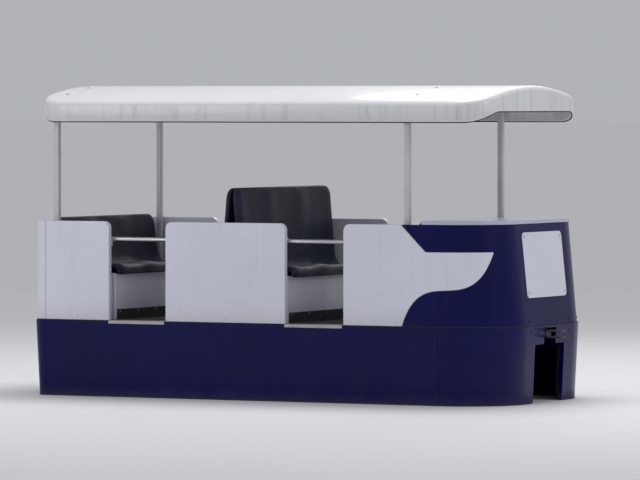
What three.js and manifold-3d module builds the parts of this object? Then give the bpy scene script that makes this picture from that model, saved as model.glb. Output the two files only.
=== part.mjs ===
// Open-sided monorail car of the straddling kind, with four benches under an arched canopy.
// Millimetres. +X is forward, +Y is left, +Z is up.
// The origin is on the centre line, level with the foot of the load tyres and under mid-length.
import * as THREE from "three";
import { mergeVertices } from "three/addons/utils/BufferGeometryUtils.js";
import Module from "manifold-3d";

const wasm = await Module();
wasm.setup();

// Driving dimensions of the body, in millimetres.
const BODY_LENGTH = 3500;
const BODY_HALF_WIDTH = 800;
const SKIRT_BOTTOM = -360;
const SILL = 150; // floor level, where the white panels meet the blue skirt
const PANEL_TOP = 820;
const FRONT = BODY_LENGTH / 2;
const REAR = -BODY_LENGTH / 2;
const GAP = 0.3; // between pieces that touch
const SEAM = 2; // open joint between two panels of one wall

// Walls: the skirt leans in towards its foot, and the white panels stand a step behind it.
const SKIRT_THICKNESS = 30;
const SKIRT_LEAN = 25;
const PANEL_THICKNESS = 40;
const PANEL_STEP = 10;
const FRONT_CORNER = 100;
const REAR_CORNER = 450;
const REAR_CORNER_AT_TOP = 420;
const REAR_RAKE = 70; // the rear face leans forward this much between sill and panel top
const FRONT_WRAP = FRONT - 110; // where the side walls end and the front end pieces begin
const REAR_WRAP = REAR + REAR_CORNER; // where the straight skirts end and the rear apron begins

// Side panels: x of the front and rear edge. The rear panel's rear edge is swept, so it has two.
const PANELS = {
  front: { fore: FRONT_WRAP - GAP, aft: 1150 },
  middle: { fore: 720, aft: -180 },
  rear: { fore: -610, aftLow: -1040, aftHigh: -1620 },
};
const PANEL_CORNER = 45;
// The fairing sweeps up behind the rear panel in a curve, and its top band runs forward over it.
const SWEEP_CONTROLS = [[-1190, 620], [-1540, 160]];
const BAND_FORE = -1035;
const BAND_LOW = 645;

// What the car straddles, the archway over it and the notch for the coupler.
const BEAM_HALF_WIDTH = 150;
const TUNNEL_HALF_WIDTH = 230;
const TUNNEL_TOP = 25;
const COUPLER_NOTCH_HALF_WIDTH = 90;
const COUPLER_NOTCH_TOP = 132;

// Floor and underframe.
const FLOOR_THICKNESS = 30;
const FLOOR_REAR = -1240;
const WELL_HALF_WIDTH = 400; // the wells in the floor over the trucks
const WELL_HALF_LENGTH = 171;
const RAIL_INNER = 330;
const RAIL_OUTER = 380;
const RAIL_LOW = 65;
const RAIL_HIGH = SILL - FLOOR_THICKNESS - GAP;
const CROSS_MEMBERS = [1668, 1080, 290, -400, -960, -1675]; // x of each cross member
const CROSS_MEMBER_WIDTH = 44;
const OUTRIGGER_REACH = 765.4; // half the length of a cross member
const FRONT_MEMBER_REACH = 700; // and of the two inside the round corners of the aprons
const REAR_MEMBER_REACH = 455;
const END_SETBACK = 37.5; // the rails reach the inner face of either apron

// Trucks: one load axle each, with four guide wheels on upright spindles below it.
const TRUCKS = { front: 1350, rear: -1200 }; // x of each king pin
const LOAD_RADIUS = 150;
const LOAD_RIM_RADIUS = 103;
const LOAD_TYRE_INNER = 35; // distance of a load tyre's faces from the centre line
const LOAD_TYRE_OUTER = 125;
const AXLE_RADIUS = 25;
const AXLE_HALF_LENGTH = 168;
const SIDE_PLATE_INNER = 145;
const SIDE_PLATE_OUTER = 170;
const CROSSBEAM_LOW = 15;
const CROSSBEAM_HIGH = 55;
const CROSSBEAM_WIDTH = 50;
const PLATE_HALF_LENGTH = 110; // of the side plates above the crossbeams
const PLATE_SHOULDER = 100; // height at which a side plate meets its gussets
const TRUCK_HALF_LENGTH = 235;
const LEG_INNER = 365;
const LEG_OUTER = 395;
const LEG_BOTTOM = -290;
const BRIDGE_LOW = 350;
const BRIDGE_HIGH = 375;
const BOLSTER_LOW = 390;
const BOLSTER_HIGH = 430;
const BOLSTER_HALF_LENGTH = 60;
const CENTRE_PAD_RADIUS = 60; // the pad that the body's weight turns on
const KING_PIN_RADIUS = 24;
const KING_PIN_HOLE = 25.2;
const KING_PIN_TOP = 445;
const GUIDE_RADIUS = 100;
const GUIDE_X = 205;
const GUIDE_Y = BEAM_HALF_WIDTH + GUIDE_RADIUS;
const GUIDE_LOW = -232;
const GUIDE_HIGH = -128;
const GUIDE_ARM_HALF_WIDTH = 25;
const GUIDE_ARM_THICKNESS = 25;
const SPINDLE_RADIUS = 14;
const SPINDLE_BOSS_RADIUS = 24;
const GUIDE_BORE = 14.6;

// Couplers: a swinging drawbar in front and a fixed jaw behind.
const DRAWBAR_PIVOT = 1722;
const COUPLING_PIN = 1825; // distance of the coupling pin from mid-length, at either end
const COUPLER_Z = 90;
const CLEVIS_ROOT = 1690; // distance of the outer face of the end cross members
const CLEVIS_HALF_WIDTH = 32;
const CLEVIS_PLATE = 11;
const CLEVIS_PLAY = 3; // above and below the drawbar
const JAW_WEB = 1735;
const JAW_HOLE_RADIUS = 11;
const DRAWBAR_THICKNESS = 24;
const DRAWBAR_HALF_WIDTH = 18;
const EYE_RADIUS = 25;
const EYE_HOLE_RADIUS = 12;
const PIVOT_PIN_RADIUS = 10;

// Seats: x of the lip of each pan and of the foot of each back, how far the back leans and how
// high it reaches, and which way the seat faces. The end backs stop just above the walls.
const BENCHES = {
  front: { lip: 1134, back: 1590, lean: 46, top: 850, facing: -1 },
  middle_front: { lip: 728, back: 334, lean: 45, top: 1060, facing: 1 },
  middle_rear: { lip: -188, back: 206, lean: 45, top: 1060, facing: -1 },
  rear: { lip: -618, back: -1080, lean: 46, top: 850, facing: 1 },
};
const BENCH_HALF_WIDTH = 700;
const BENCH_THICKNESS = 28;
const SEAT_BASE_TOP = 470;
const SEAT_BASES = {
  front: { fore: 1690, aft: 1155, open: "none" },
  middle: { fore: 690, aft: -150, open: "none" },
  rear: { fore: -640, aft: -1150, open: "aft" },
};
const SEAT_BASE_HALF_WIDTH = 690;
const SEAT_BASE_WALL = 22;

// Canopy and the two square-tube frames that carry it.
const CANOPY = { fore: 1740, aft: -1640, halfWidth: 800, corner: 240, wall: 25 };
const CANOPY_CROWN = 1730;
const CANOPY_SHOULDER = 1620;
const CANOPY_EDGE = 1490;
const ROOF_FRAMES = { front: 1585, rear: -1050 };
const TUBE = 38;
const POST_Y = 722;
const FRAME_CLEARANCE = 0.9; // under the canopy's facets
const FRAME_BEND = 90;

// Safety bars across the entrances: x of the pivot and of the bar's tip.
const BARS = {
  front: { pivot: 690, tip: 1178, catchAt: 1166 },
  rear: { pivot: -150, tip: -638, catchAt: -626 },
};
const BAR_Y = 730;
const BAR_Z = 700;
const BAR_RADIUS = 14;
const BAR_EYE_RADIUS = 26;
const BAR_PIN_RADIUS = 11;

// Finishes: colour, roughness and metalness.
const FINISHES = {
  white: [0xe4e4e8, 0.35, 0],
  blue: [0x10135a, 0.25, 0],
  navy: [0x151b33, 0.45, 0],
  pale: [0xb9bfd0, 0.4, 0],
  floor: [0x3b3e44, 0.8, 0],
  post: [0xc9ccd2, 0.4, 0.6],
  steel: [0x3c4047, 0.55, 0.7],
  rubber: [0x1a1a1c, 0.9, 0],
  motor: [0x4d5660, 0.5, 0.5],
};
const materials = Object.fromEntries(
  Object.entries(FINISHES).map(([name, [color, roughness, metalness]]) => [
    name,
    new THREE.MeshStandardMaterial({ name, color, roughness, metalness }),
  ]),
);

// Booleans: a geometry becomes a solid, facing out, and a solid becomes a geometry again.
function solid(geometry) {
  const bare = geometry.clone();
  bare.deleteAttribute("normal");
  bare.deleteAttribute("uv");
  const merged = mergeVertices(bare, 1e-3);
  const index = merged.index.array;
  const kept = [];
  for (let i = 0; i < index.length; i += 3) {
    const [a, b, c] = [index[i], index[i + 1], index[i + 2]];
    if (a !== b && b !== c && c !== a) kept.push(a, b, c);
  }
  const build = (triVerts) =>
    new wasm.Manifold(
      new wasm.Mesh({ numProp: 3, vertProperties: merged.attributes.position.array, triVerts }),
    );
  const made = build(new Uint32Array(kept));
  if (made.volume() > 0) return made;
  return build(new Uint32Array(kept.reverse()));
}

function geometryOf(manifold) {
  const { numProp, vertProperties, triVerts } = manifold.getMesh();
  const count = vertProperties.length / numProp;
  const position = new Float32Array(count * 3);
  for (let i = 0; i < count; i++)
    position.set(vertProperties.subarray(i * numProp, i * numProp + 3), i * 3);
  return new THREE.BufferGeometry()
    .setAttribute("position", new THREE.BufferAttribute(position, 3))
    .setIndex(new THREE.BufferAttribute(triVerts, 1));
}

const join = (...solids) => solids.reduce((all, next) => all.add(next));
const cut = (from, ...tools) => tools.reduce((left, tool) => left.subtract(tool), from);

// Prisms: an outline of [a, b] pairs in one plane, pushed along the third axis.
function extruded(outline, depth, basis, offset) {
  const shape = new THREE.Shape(outline.map(([a, b]) => new THREE.Vector2(a, b)));
  const geometry = new THREE.ExtrudeGeometry(shape, { depth, bevelEnabled: false });
  geometry.applyMatrix4(new THREE.Matrix4().makeBasis(...basis).setPosition(offset));
  return solid(geometry);
}
const X = new THREE.Vector3(1, 0, 0);
const Y = new THREE.Vector3(0, 1, 0);
const Z = new THREE.Vector3(0, 0, 1);
const alongX = (outline, from, to) =>
  extruded(outline, to - from, [Y, Z, X], new THREE.Vector3(from, 0, 0));
const alongY = (outline, from, to) =>
  extruded(outline, to - from, [X, Z, Y.clone().negate()], new THREE.Vector3(0, to, 0));
const alongZ = (outline, from, to) =>
  extruded(outline, to - from, [X, Y, Z], new THREE.Vector3(0, 0, from));

function box([x0, x1], [y0, y1], [z0, z1]) {
  const geometry = new THREE.BoxGeometry(x1 - x0, y1 - y0, z1 - z0);
  return solid(geometry.translate((x0 + x1) / 2, (y0 + y1) / 2, (z0 + z1) / 2));
}
const bothSides = (make) => join(make(1), make(-1));
// An interval at distance near to far from the centre line, on the side that sign gives.
const span = (sign, near, far) => (sign > 0 ? [near, far] : [-far, -near]);

// A round bar from a point along one axis.
function rod(radius, from, length, axis, sides = 20) {
  const geometry = new THREE.CylinderGeometry(radius, radius, length, sides);
  if (axis === "x") geometry.rotateZ(-Math.PI / 2);
  if (axis === "z") geometry.rotateX(Math.PI / 2);
  const middle = { x: [length / 2, 0, 0], y: [0, length / 2, 0], z: [0, 0, length / 2] }[axis];
  return solid(geometry.translate(from[0] + middle[0], from[1] + middle[1], from[2] + middle[2]));
}

// Points of a round corner about a centre, from one angle to another in degrees.
function arc(cx, cy, radius, fromDeg, toDeg, steps) {
  return Array.from({ length: steps + 1 }, (_, i) => {
    const angle = THREE.MathUtils.degToRad(fromDeg + ((toDeg - fromDeg) * i) / steps);
    return [cx + radius * Math.cos(angle), cy + radius * Math.sin(angle)];
  });
}

// A solid through sections of equal point count. flat gives the two coordinates its end caps lie in.
function loft(sections, flat) {
  const count = sections[0].length;
  const index = [];
  for (let s = 0; s + 1 < sections.length; s++)
    for (let i = 0; i < count; i++) {
      const [a, b] = [s * count + i, s * count + ((i + 1) % count)];
      index.push(a, b, b + count, a, b + count, a + count);
    }
  const caps = THREE.ShapeUtils.triangulateShape(
    sections[0].map((p) => new THREE.Vector2(...flat(p))),
    [],
  );
  const last = (sections.length - 1) * count;
  const turn = THREE.ShapeUtils.isClockWise(sections[0].map((p) => new THREE.Vector2(...flat(p))));
  for (const [a, b, c] of caps) {
    const [p, q] = turn ? [b, c] : [c, b];
    index.push(a, p, q, last + a, last + q, last + p);
  }
  const geometry = new THREE.BufferGeometry()
    .setAttribute("position", new THREE.Float32BufferAttribute(sections.flat(2), 3))
    .setIndex(index);
  return solid(geometry);
}

// A wall that wraps round one end of the car, seen from above: straight sides from start,
// round corners of the given radius, and a straight face across at end.
function wrapOutline(start, end, halfWidth, radius, thickness, steps) {
  const out = Math.sign(end - start);
  const leg = (half, reach, r) => {
    const corner = arc(0, 0, r, 90, 0, steps).map(([x, y]) => [
      reach - out * (r - x),
      half - r + y,
    ]);
    return [[start, half], ...corner];
  };
  const outer = leg(halfWidth, end, radius);
  const inner = leg(halfWidth - thickness, end - out * thickness, radius - thickness);
  const mirrored = (side) => side.map(([x, y]) => [x, -y]).reverse();
  return [...outer, ...mirrored(outer), ...mirrored(inner).reverse(), ...inner.reverse()];
}

// The same wall through several levels, each { z, end, halfWidth, radius }.
function wrapWall(start, thickness, steps, levels) {
  return loft(
    levels.map(({ z, end, halfWidth, radius }) =>
      wrapOutline(start, end, halfWidth, radius, thickness, steps).map(([x, y]) => [x, y, z]),
    ),
    ([x, y]) => [x, y],
  );
}

// Car body: the scene graph is filled in below, piece by piece.
const car = new THREE.Group();
car.name = "monorail_car";

function add(parent, name, shape, finish) {
  const geometry = shape.isBufferGeometry ? shape : geometryOf(shape);
  const mesh = new THREE.Mesh(geometry, materials[finish]);
  mesh.name = name;
  parent.add(mesh);
  return mesh;
}

// A pair of pieces, left and right, mirrored in the car's middle plane.
function addPair(name, shape, finish) {
  const geometry = geometryOf(shape);
  add(car, name + "_left", geometry, finish);
  add(car, name + "_right", geometry, finish).scale.set(1, -1, 1);
}

// Skirts: flat blue sides from the sill down, which hide the trucks.
const skirtOutline = [
  [BODY_HALF_WIDTH, SILL],
  [BODY_HALF_WIDTH - SKIRT_LEAN, SKIRT_BOTTOM],
  [BODY_HALF_WIDTH - SKIRT_LEAN - SKIRT_THICKNESS, SKIRT_BOTTOM],
  [BODY_HALF_WIDTH - SKIRT_THICKNESS, SILL],
];
addPair("skirt", alongX(skirtOutline, REAR_WRAP + GAP, FRONT_WRAP - GAP), "blue");

// Aprons: the skirt carried round each end, with an archway and a notch for the coupler.
const archway = [
  [-TUNNEL_HALF_WIDTH, SKIRT_BOTTOM - 10],
  [TUNNEL_HALF_WIDTH, SKIRT_BOTTOM - 10],
  [TUNNEL_HALF_WIDTH, TUNNEL_TOP],
  [COUPLER_NOTCH_HALF_WIDTH, TUNNEL_TOP],
  [COUPLER_NOTCH_HALF_WIDTH, COUPLER_NOTCH_TOP],
  [-COUPLER_NOTCH_HALF_WIDTH, COUPLER_NOTCH_TOP],
  [-COUPLER_NOTCH_HALF_WIDTH, TUNNEL_TOP],
  [-TUNNEL_HALF_WIDTH, TUNNEL_TOP],
];
function apron(start, end, radius) {
  const out = Math.sign(end);
  const wall = wrapWall(start, SKIRT_THICKNESS, 8, [
    { z: SILL, end, halfWidth: BODY_HALF_WIDTH, radius },
    {
      z: SKIRT_BOTTOM,
      end: end - out * SKIRT_LEAN,
      halfWidth: BODY_HALF_WIDTH - SKIRT_LEAN,
      radius: radius - SKIRT_LEAN,
    },
  ]);
  const near = end - out * 120;
  return cut(wall, alongX(archway, Math.min(near, end + out * 10), Math.max(near, end + out * 10)));
}
add(car, "front_apron", apron(FRONT_WRAP, FRONT, FRONT_CORNER), "blue");
add(car, "rear_apron", apron(REAR_WRAP, REAR, REAR_CORNER), "blue");

// White side panels, front wall and blue rear fairing stand on the sill.
const PANEL_FOOT = SILL + GAP;
const PANEL_HALF_WIDTH = BODY_HALF_WIDTH - PANEL_STEP;

// Outlines of the side panels, with their upper corners round where the car is open.
const panelCorner = (x, from, to) =>
  arc(x, PANEL_TOP - PANEL_CORNER, PANEL_CORNER, from, to, 5);
const frontPanelOutline = [
  [PANELS.front.aft, PANEL_FOOT],
  [PANELS.front.fore, PANEL_FOOT],
  [PANELS.front.fore, PANEL_TOP],
  ...panelCorner(PANELS.front.aft + PANEL_CORNER, 90, 180),
];
const middlePanelOutline = [
  [PANELS.middle.aft, PANEL_FOOT],
  [PANELS.middle.fore, PANEL_FOOT],
  ...panelCorner(PANELS.middle.fore - PANEL_CORNER, 0, 90),
  ...panelCorner(PANELS.middle.aft + PANEL_CORNER, 90, 180),
];

// Fittings of a safety bar on the inner face of a panel: the pin it turns on, and its catch.
const panelInnerFace = PANEL_HALF_WIDTH - PANEL_THICKNESS;
const barPin = (x) =>
  rod(BAR_PIN_RADIUS, [x, BAR_Y - BAR_RADIUS, BAR_Z], panelInnerFace - BAR_Y + BAR_RADIUS + 1, "y");
const barCatch = (x) =>
  box(
    [x - 8, x + 8],
    [BAR_Y - BAR_RADIUS, panelInnerFace + 1],
    [BAR_Z - BAR_RADIUS - 16, BAR_Z - BAR_RADIUS - GAP],
  );

addPair(
  "front_panel",
  join(
    alongY(frontPanelOutline, panelInnerFace, PANEL_HALF_WIDTH),
    barCatch(BARS.front.catchAt),
  ),
  "white",
);
addPair(
  "middle_panel",
  join(
    alongY(middlePanelOutline, panelInnerFace, PANEL_HALF_WIDTH),
    barPin(BARS.front.pivot),
    barPin(BARS.rear.pivot),
  ),
  "white",
);

add(
  car,
  "front_wall",
  wrapWall(
    FRONT_WRAP,
    PANEL_THICKNESS,
    6,
    [PANEL_FOOT, PANEL_TOP].map((z) => ({
      z,
      end: FRONT - PANEL_STEP,
      halfWidth: PANEL_HALF_WIDTH,
      radius: FRONT_CORNER - PANEL_STEP,
    })),
  ),
  "white",
);

// The rear walls are one wrap, split on a slant into the white rear panels and the blue fairing.
const rearWrap = wrapWall(PANELS.rear.fore, PANEL_THICKNESS, 10, [
  {
    z: PANEL_FOOT,
    end: REAR + PANEL_STEP,
    halfWidth: PANEL_HALF_WIDTH,
    radius: REAR_CORNER - PANEL_STEP,
  },
  {
    z: PANEL_TOP,
    end: REAR + PANEL_STEP + REAR_RAKE,
    halfWidth: PANEL_HALF_WIDTH,
    radius: REAR_CORNER_AT_TOP,
  },
]);
// The double curve between panel and fairing: up from the sill, back nearly level, and up to the
// band. It is moved forward by shift and ends at the height top.
function sweep(shift, top) {
  const curve = new THREE.CubicBezierCurve(
    new THREE.Vector2(PANELS.rear.aftLow, PANEL_FOOT),
    ...SWEEP_CONTROLS.map((at) => new THREE.Vector2(...at)),
    new THREE.Vector2(PANELS.rear.aftHigh, BAND_LOW),
  );
  const points = curve.getPoints(18).slice(0, -1);
  return [...points, { x: PANELS.rear.aftHigh, y: top }].map(({ x, y }) => [x + shift, y]);
}
const bandEdge = (low, fore) => [
  [fore - (PANEL_TOP - low), low],
  [fore, PANEL_TOP],
];
const rearPanelCurve = sweep(SEAM, BAND_LOW - SEAM);
const rearPanelOutline = [
  [PANELS.rear.fore, PANEL_FOOT],
  ...panelCorner(PANELS.rear.fore - PANEL_CORNER, 0, 90),
  ...bandEdge(BAND_LOW - SEAM, BAND_FORE + SEAM).reverse(),
  ...rearPanelCurve.reverse(),
];
const fairingCurve = sweep(0, BAND_LOW);
const fairingOutline = [
  [REAR - 10, PANEL_FOOT - 10],
  [fairingCurve[0][0], PANEL_FOOT - 10],
  ...fairingCurve,
  ...bandEdge(BAND_LOW, BAND_FORE),
  [BAND_FORE, PANEL_TOP + 10],
  [REAR - 10, PANEL_TOP + 10],
];
const rearPanel = join(
  rearWrap.intersect(alongY(rearPanelOutline, 0, BODY_HALF_WIDTH)),
  barCatch(BARS.rear.catchAt),
);
addPair("rear_panel", rearPanel, "white");
add(
  car,
  "rear_fairing",
  rearWrap.intersect(alongY(fairingOutline, -BODY_HALF_WIDTH, BODY_HALF_WIDTH)),
  "blue",
);

// The pale deck closes the top of the fairing behind the rear seat back.
const DECK_FORE = -1178;
const DECK_THICKNESS = 26;
const deckEnd = REAR + PANEL_STEP + REAR_RAKE - 8;
const deckCorner = arc(0, 0, REAR_CORNER_AT_TOP, 90, 180, 10).map(([x, y]) => [
  deckEnd + REAR_CORNER_AT_TOP + x,
  PANEL_HALF_WIDTH - REAR_CORNER_AT_TOP + y,
]);
const deckOutline = [
  [DECK_FORE, PANEL_HALF_WIDTH],
  ...deckCorner,
  ...deckCorner.map(([x, y]) => [x, -y]).reverse(),
  [DECK_FORE, -PANEL_HALF_WIDTH],
];
add(
  car,
  "rear_deck",
  alongZ(deckOutline, PANEL_TOP + GAP, PANEL_TOP + GAP + DECK_THICKNESS),
  "pale",
);

// Floor, with a well over each truck; the rear well runs out at the floor's end.
const floorPlate = box(
  [FLOOR_REAR, FRONT_WRAP],
  [-(BODY_HALF_WIDTH - SKIRT_THICKNESS - 2), BODY_HALF_WIDTH - SKIRT_THICKNESS - 2],
  [SILL - FLOOR_THICKNESS, SILL],
);
const well = (fore, aft) =>
  box([aft, fore], [-WELL_HALF_WIDTH, WELL_HALF_WIDTH], [SILL - 100, SILL + 10]);
add(
  car,
  "floor",
  cut(
    floorPlate,
    well(TRUCKS.front + WELL_HALF_LENGTH, TRUCKS.front - WELL_HALF_LENGTH),
    well(TRUCKS.rear + WELL_HALF_LENGTH, FLOOR_REAR - 10),
  ),
  "floor",
);

// Bolsters: a bridge on the rails over each truck, with the king pin's hole.
for (const [name, x] of Object.entries(TRUCKS)) {
  const foot = [x - BOLSTER_HALF_LENGTH, x + BOLSTER_HALF_LENGTH];
  const plate = box(foot, [-RAIL_OUTER, RAIL_OUTER], [BOLSTER_LOW, BOLSTER_HIGH]);
  const risers = bothSides((s) =>
    box(foot, span(s, RAIL_INNER, RAIL_OUTER), [RAIL_HIGH + GAP, BOLSTER_HIGH]),
  );
  const hole = rod(KING_PIN_HOLE, [x, 0, BOLSTER_LOW - 10], 60, "z", 24);
  add(car, "bolster_" + name, cut(join(plate, risers), hole), "steel");
}

// Underframe: two rails, cross members with outriggers, the front clevis and the rear jaw.
const rails = bothSides((s) =>
  box(
    [REAR + END_SETBACK, FRONT - END_SETBACK],
    span(s, RAIL_INNER, RAIL_OUTER),
    [RAIL_LOW, RAIL_HIGH],
  ),
);
const crossMembers = CROSS_MEMBERS.map((x) => {
  const inFront = x > FRONT_WRAP;
  const reach = x < REAR_WRAP ? REAR_MEMBER_REACH : inFront ? FRONT_MEMBER_REACH : OUTRIGGER_REACH;
  return box(
    [x - CROSS_MEMBER_WIDTH / 2, x + CROSS_MEMBER_WIDTH / 2],
    [-reach, reach],
    [RAIL_LOW, RAIL_HIGH],
  );
});
const clevisWidth = [-CLEVIS_HALF_WIDTH, CLEVIS_HALF_WIDTH];
const clevisNear = DRAWBAR_THICKNESS / 2 + CLEVIS_PLAY;
const clevisFar = clevisNear + CLEVIS_PLATE;
const clevisPlates = (from, to) =>
  bothSides((s) => {
    const levels = span(s, clevisNear, clevisFar).map((z) => z + COUPLER_Z);
    return box([from, to], clevisWidth, levels);
  });
const upright = (radius, x) => rod(radius, [x, 0, COUPLER_Z - clevisFar + 1], 2 * (clevisFar - 1), "z");
const frontClevis = join(
  clevisPlates(CLEVIS_ROOT, DRAWBAR_PIVOT + 20),
  upright(PIVOT_PIN_RADIUS, DRAWBAR_PIVOT),
);
const rearJaw = cut(
  join(
    clevisPlates(-COUPLING_PIN - EYE_RADIUS, -CLEVIS_ROOT),
    box([-JAW_WEB, -CLEVIS_ROOT], clevisWidth, [COUPLER_Z - clevisFar, COUPLER_Z + clevisFar]),
  ),
  rod(JAW_HOLE_RADIUS, [-COUPLING_PIN, 0, COUPLER_Z - 40], 80, "z"),
);
add(car, "underframe", join(rails, ...crossMembers, frontClevis, rearJaw), "steel");

// Drawbar: a bar with an eye at each end, on the pin of the front clevis.
const drawbarLow = COUPLER_Z - DRAWBAR_THICKNESS / 2;
const drawbar = cut(
  join(
    rod(EYE_RADIUS - 1, [DRAWBAR_PIVOT, 0, drawbarLow], DRAWBAR_THICKNESS, "z", 24),
    rod(EYE_RADIUS, [COUPLING_PIN, 0, drawbarLow], DRAWBAR_THICKNESS, "z", 24),
    box(
      [DRAWBAR_PIVOT, COUPLING_PIN],
      [-DRAWBAR_HALF_WIDTH, DRAWBAR_HALF_WIDTH],
      [drawbarLow, drawbarLow + DRAWBAR_THICKNESS],
    ),
  ),
  rod(PIVOT_PIN_RADIUS + 0.8, [DRAWBAR_PIVOT, 0, drawbarLow - 5], 40, "z"),
  rod(EYE_HOLE_RADIUS, [COUPLING_PIN, 0, drawbarLow - 5], 40, "z"),
);
add(car, "front_drawbar", drawbar, "steel");

// Seats: hollow bases on the floor, each with moulded benches as wide as the cabin.
for (const [name, { fore, aft, open }] of Object.entries(SEAT_BASES)) {
  const shell = box(
    [aft, fore],
    [-SEAT_BASE_HALF_WIDTH, SEAT_BASE_HALF_WIDTH],
    [SILL + GAP, SEAT_BASE_TOP],
  );
  const hollowAft = open === "aft" ? aft - 10 : aft + SEAT_BASE_WALL;
  const inner = SEAT_BASE_HALF_WIDTH - SEAT_BASE_WALL;
  const hollow = box(
    [hollowAft, fore - SEAT_BASE_WALL],
    [-inner, inner],
    [SILL - 10, SEAT_BASE_TOP - SEAT_BASE_WALL],
  );
  add(car, "seat_base_" + name, cut(shell, hollow), "white");
}

// A bench is a bent sheet seen from the side: lip, pan, round heel, leaning back, rolled top.
function benchOutline({ lip, back, lean, top, facing }) {
  const half = BENCH_THICKNESS / 2;
  const pan = SEAT_BASE_TOP + GAP + half;
  const rise = top - half - pan;
  const route = new THREE.CatmullRomCurve3(
    [
      [lip + facing * 2, pan - 28],
      [lip - facing * 6, pan + 14],
      [lip - facing * 45, pan + 26],
      [(lip * 3 + back) / 4, pan + 14],
      [(lip + back * 2) / 3, pan],
      [back + facing * 50, pan + 4],
      [back + facing * 6, pan + 50],
      [back - facing * lean * 0.22, pan + rise * 0.285],
      [back - facing * lean * 0.62, pan + rise * 0.64],
      [back - facing * lean, pan + rise],
    ].map(([x, z]) => new THREE.Vector3(x, z, 0)),
    false,
    "centripetal",
  );
  const steps = 26;
  const upper = [];
  const lower = [];
  const [near, far] = [Math.min(lip, back) + 40, Math.max(lip, back) - 40];
  for (let i = 0; i <= steps; i++) {
    const p = route.getPointAt(i / steps);
    const t = route.getTangentAt(i / steps);
    upper.push([p.x - t.y * half, p.y + t.x * half]);
    lower.push([p.x + t.y * half, p.y - t.x * half]);
  }
  const outline = [...upper, ...lower.reverse()];
  const overBase = outline.filter(([x]) => x > near && x < far).map(([, z]) => z);
  const lift = SEAT_BASE_TOP + GAP - Math.min(...overBase);
  return outline.map(([x, z]) => [x, z + lift]);
}
for (const [name, bench] of Object.entries(BENCHES))
  add(
    car,
    "bench_" + name,
    alongY(benchOutline(bench), -BENCH_HALF_WIDTH, BENCH_HALF_WIDTH),
    "navy",
  );

// Canopy: an arched shell with a turned-down edge that rises towards round corners in plan.
const archRadius = (halfWidth, rise) => (halfWidth ** 2 + rise ** 2) / (2 * rise);
const CANOPY_ARCH = archRadius(CANOPY.halfWidth, CANOPY_CROWN - CANOPY_SHOULDER);
const archDrop = (y) => CANOPY_ARCH - Math.sqrt(CANOPY_ARCH ** 2 - y ** 2);

function canopyBlock(inset, floorDrop) {
  const [fore, aft] = [CANOPY.fore - inset, CANOPY.aft + inset];
  const radius = CANOPY.corner - inset;
  const stations = [];
  const cornerAngles = [0, 18, 36, 54, 72, 90];
  for (const a of cornerAngles) {
    const angle = THREE.MathUtils.degToRad(a);
    const pull = radius * (1 - Math.cos(angle));
    const narrow = radius * (1 - Math.sin(angle));
    stations.push({ x: fore - pull, narrow });
    stations.push({ x: aft + pull, narrow });
  }
  stations.sort((a, b) => a.x - b.x);
  const archSteps = 14;
  const sections = stations.map(({ x, narrow }) => {
    const half = CANOPY.halfWidth - inset - narrow;
    const lift = (narrow / CANOPY.corner) * 70;
    const edge = CANOPY_EDGE + lift - floorDrop;
    const top = Array.from({ length: archSteps + 1 }, (_, i) => {
      const y = half - (2 * half * i) / archSteps;
      return [x, y, CANOPY_CROWN - inset - archDrop(y)];
    });
    return [[x, half, edge], ...top, [x, -half, edge]];
  });
  return loft(sections, ([, y, z]) => [y, z]);
}
add(car, "canopy", cut(canopyBlock(0, 0), canopyBlock(CANOPY.wall, 100)), "white");

// Roof frames: square tube, up each side and across under the canopy.
// Each bend is an arc that runs into the arch, so its end lies on the line to the arch's centre.
function roofFrameOutline() {
  const side = (offset) => {
    const y = POST_Y + offset;
    const bend = FRAME_BEND + offset;
    const crown = CANOPY_CROWN - CANOPY.wall - FRAME_CLEARANCE - TUBE / 2 + offset;
    const bendY = y - bend;
    const bendZ = crown - CANOPY_ARCH + Math.sqrt((CANOPY_ARCH - bend) ** 2 - bendY ** 2);
    const tilt = Math.asin(bendY / (CANOPY_ARCH - bend));
    const corner = arc(bendY, bendZ, bend, 0, 90 - THREE.MathUtils.radToDeg(tilt), 6);
    const lastY = corner.at(-1)[0];
    const across = [0.75, 0.5, 0.25, 0].map((share) => [
      lastY * share,
      crown - archDrop(lastY * share),
    ]);
    const half = [[y, SILL + GAP], ...corner, ...across];
    return [...half, ...half.slice(0, -1).reverse().map(([a, b]) => [-a, b])];
  };
  return [...side(TUBE / 2), ...side(-TUBE / 2).reverse()];
}
for (const [name, x] of Object.entries(ROOF_FRAMES))
  add(car, "roof_frame_" + name, alongX(roofFrameOutline(), x - TUBE / 2, x + TUBE / 2), "post");

// Safety bars: a tube with an eye on the panel's pin, resting on the catch of the next panel.
for (const [name, { pivot, tip }] of Object.entries(BARS)) {
  const reach = Math.abs(tip - pivot);
  const tube = rod(BAR_RADIUS, [Math.min(pivot, tip), BAR_Y, BAR_Z], reach, "x", 12);
  const eye = rod(BAR_EYE_RADIUS, [pivot, BAR_Y - BAR_RADIUS, BAR_Z], BAR_RADIUS * 2, "y", 20);
  const bore = rod(BAR_PIN_RADIUS + 1, [pivot, BAR_Y - 40, BAR_Z], 80, "y");
  addPair("safety_bar_" + name, cut(join(tube, eye), bore), "post");
}

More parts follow.
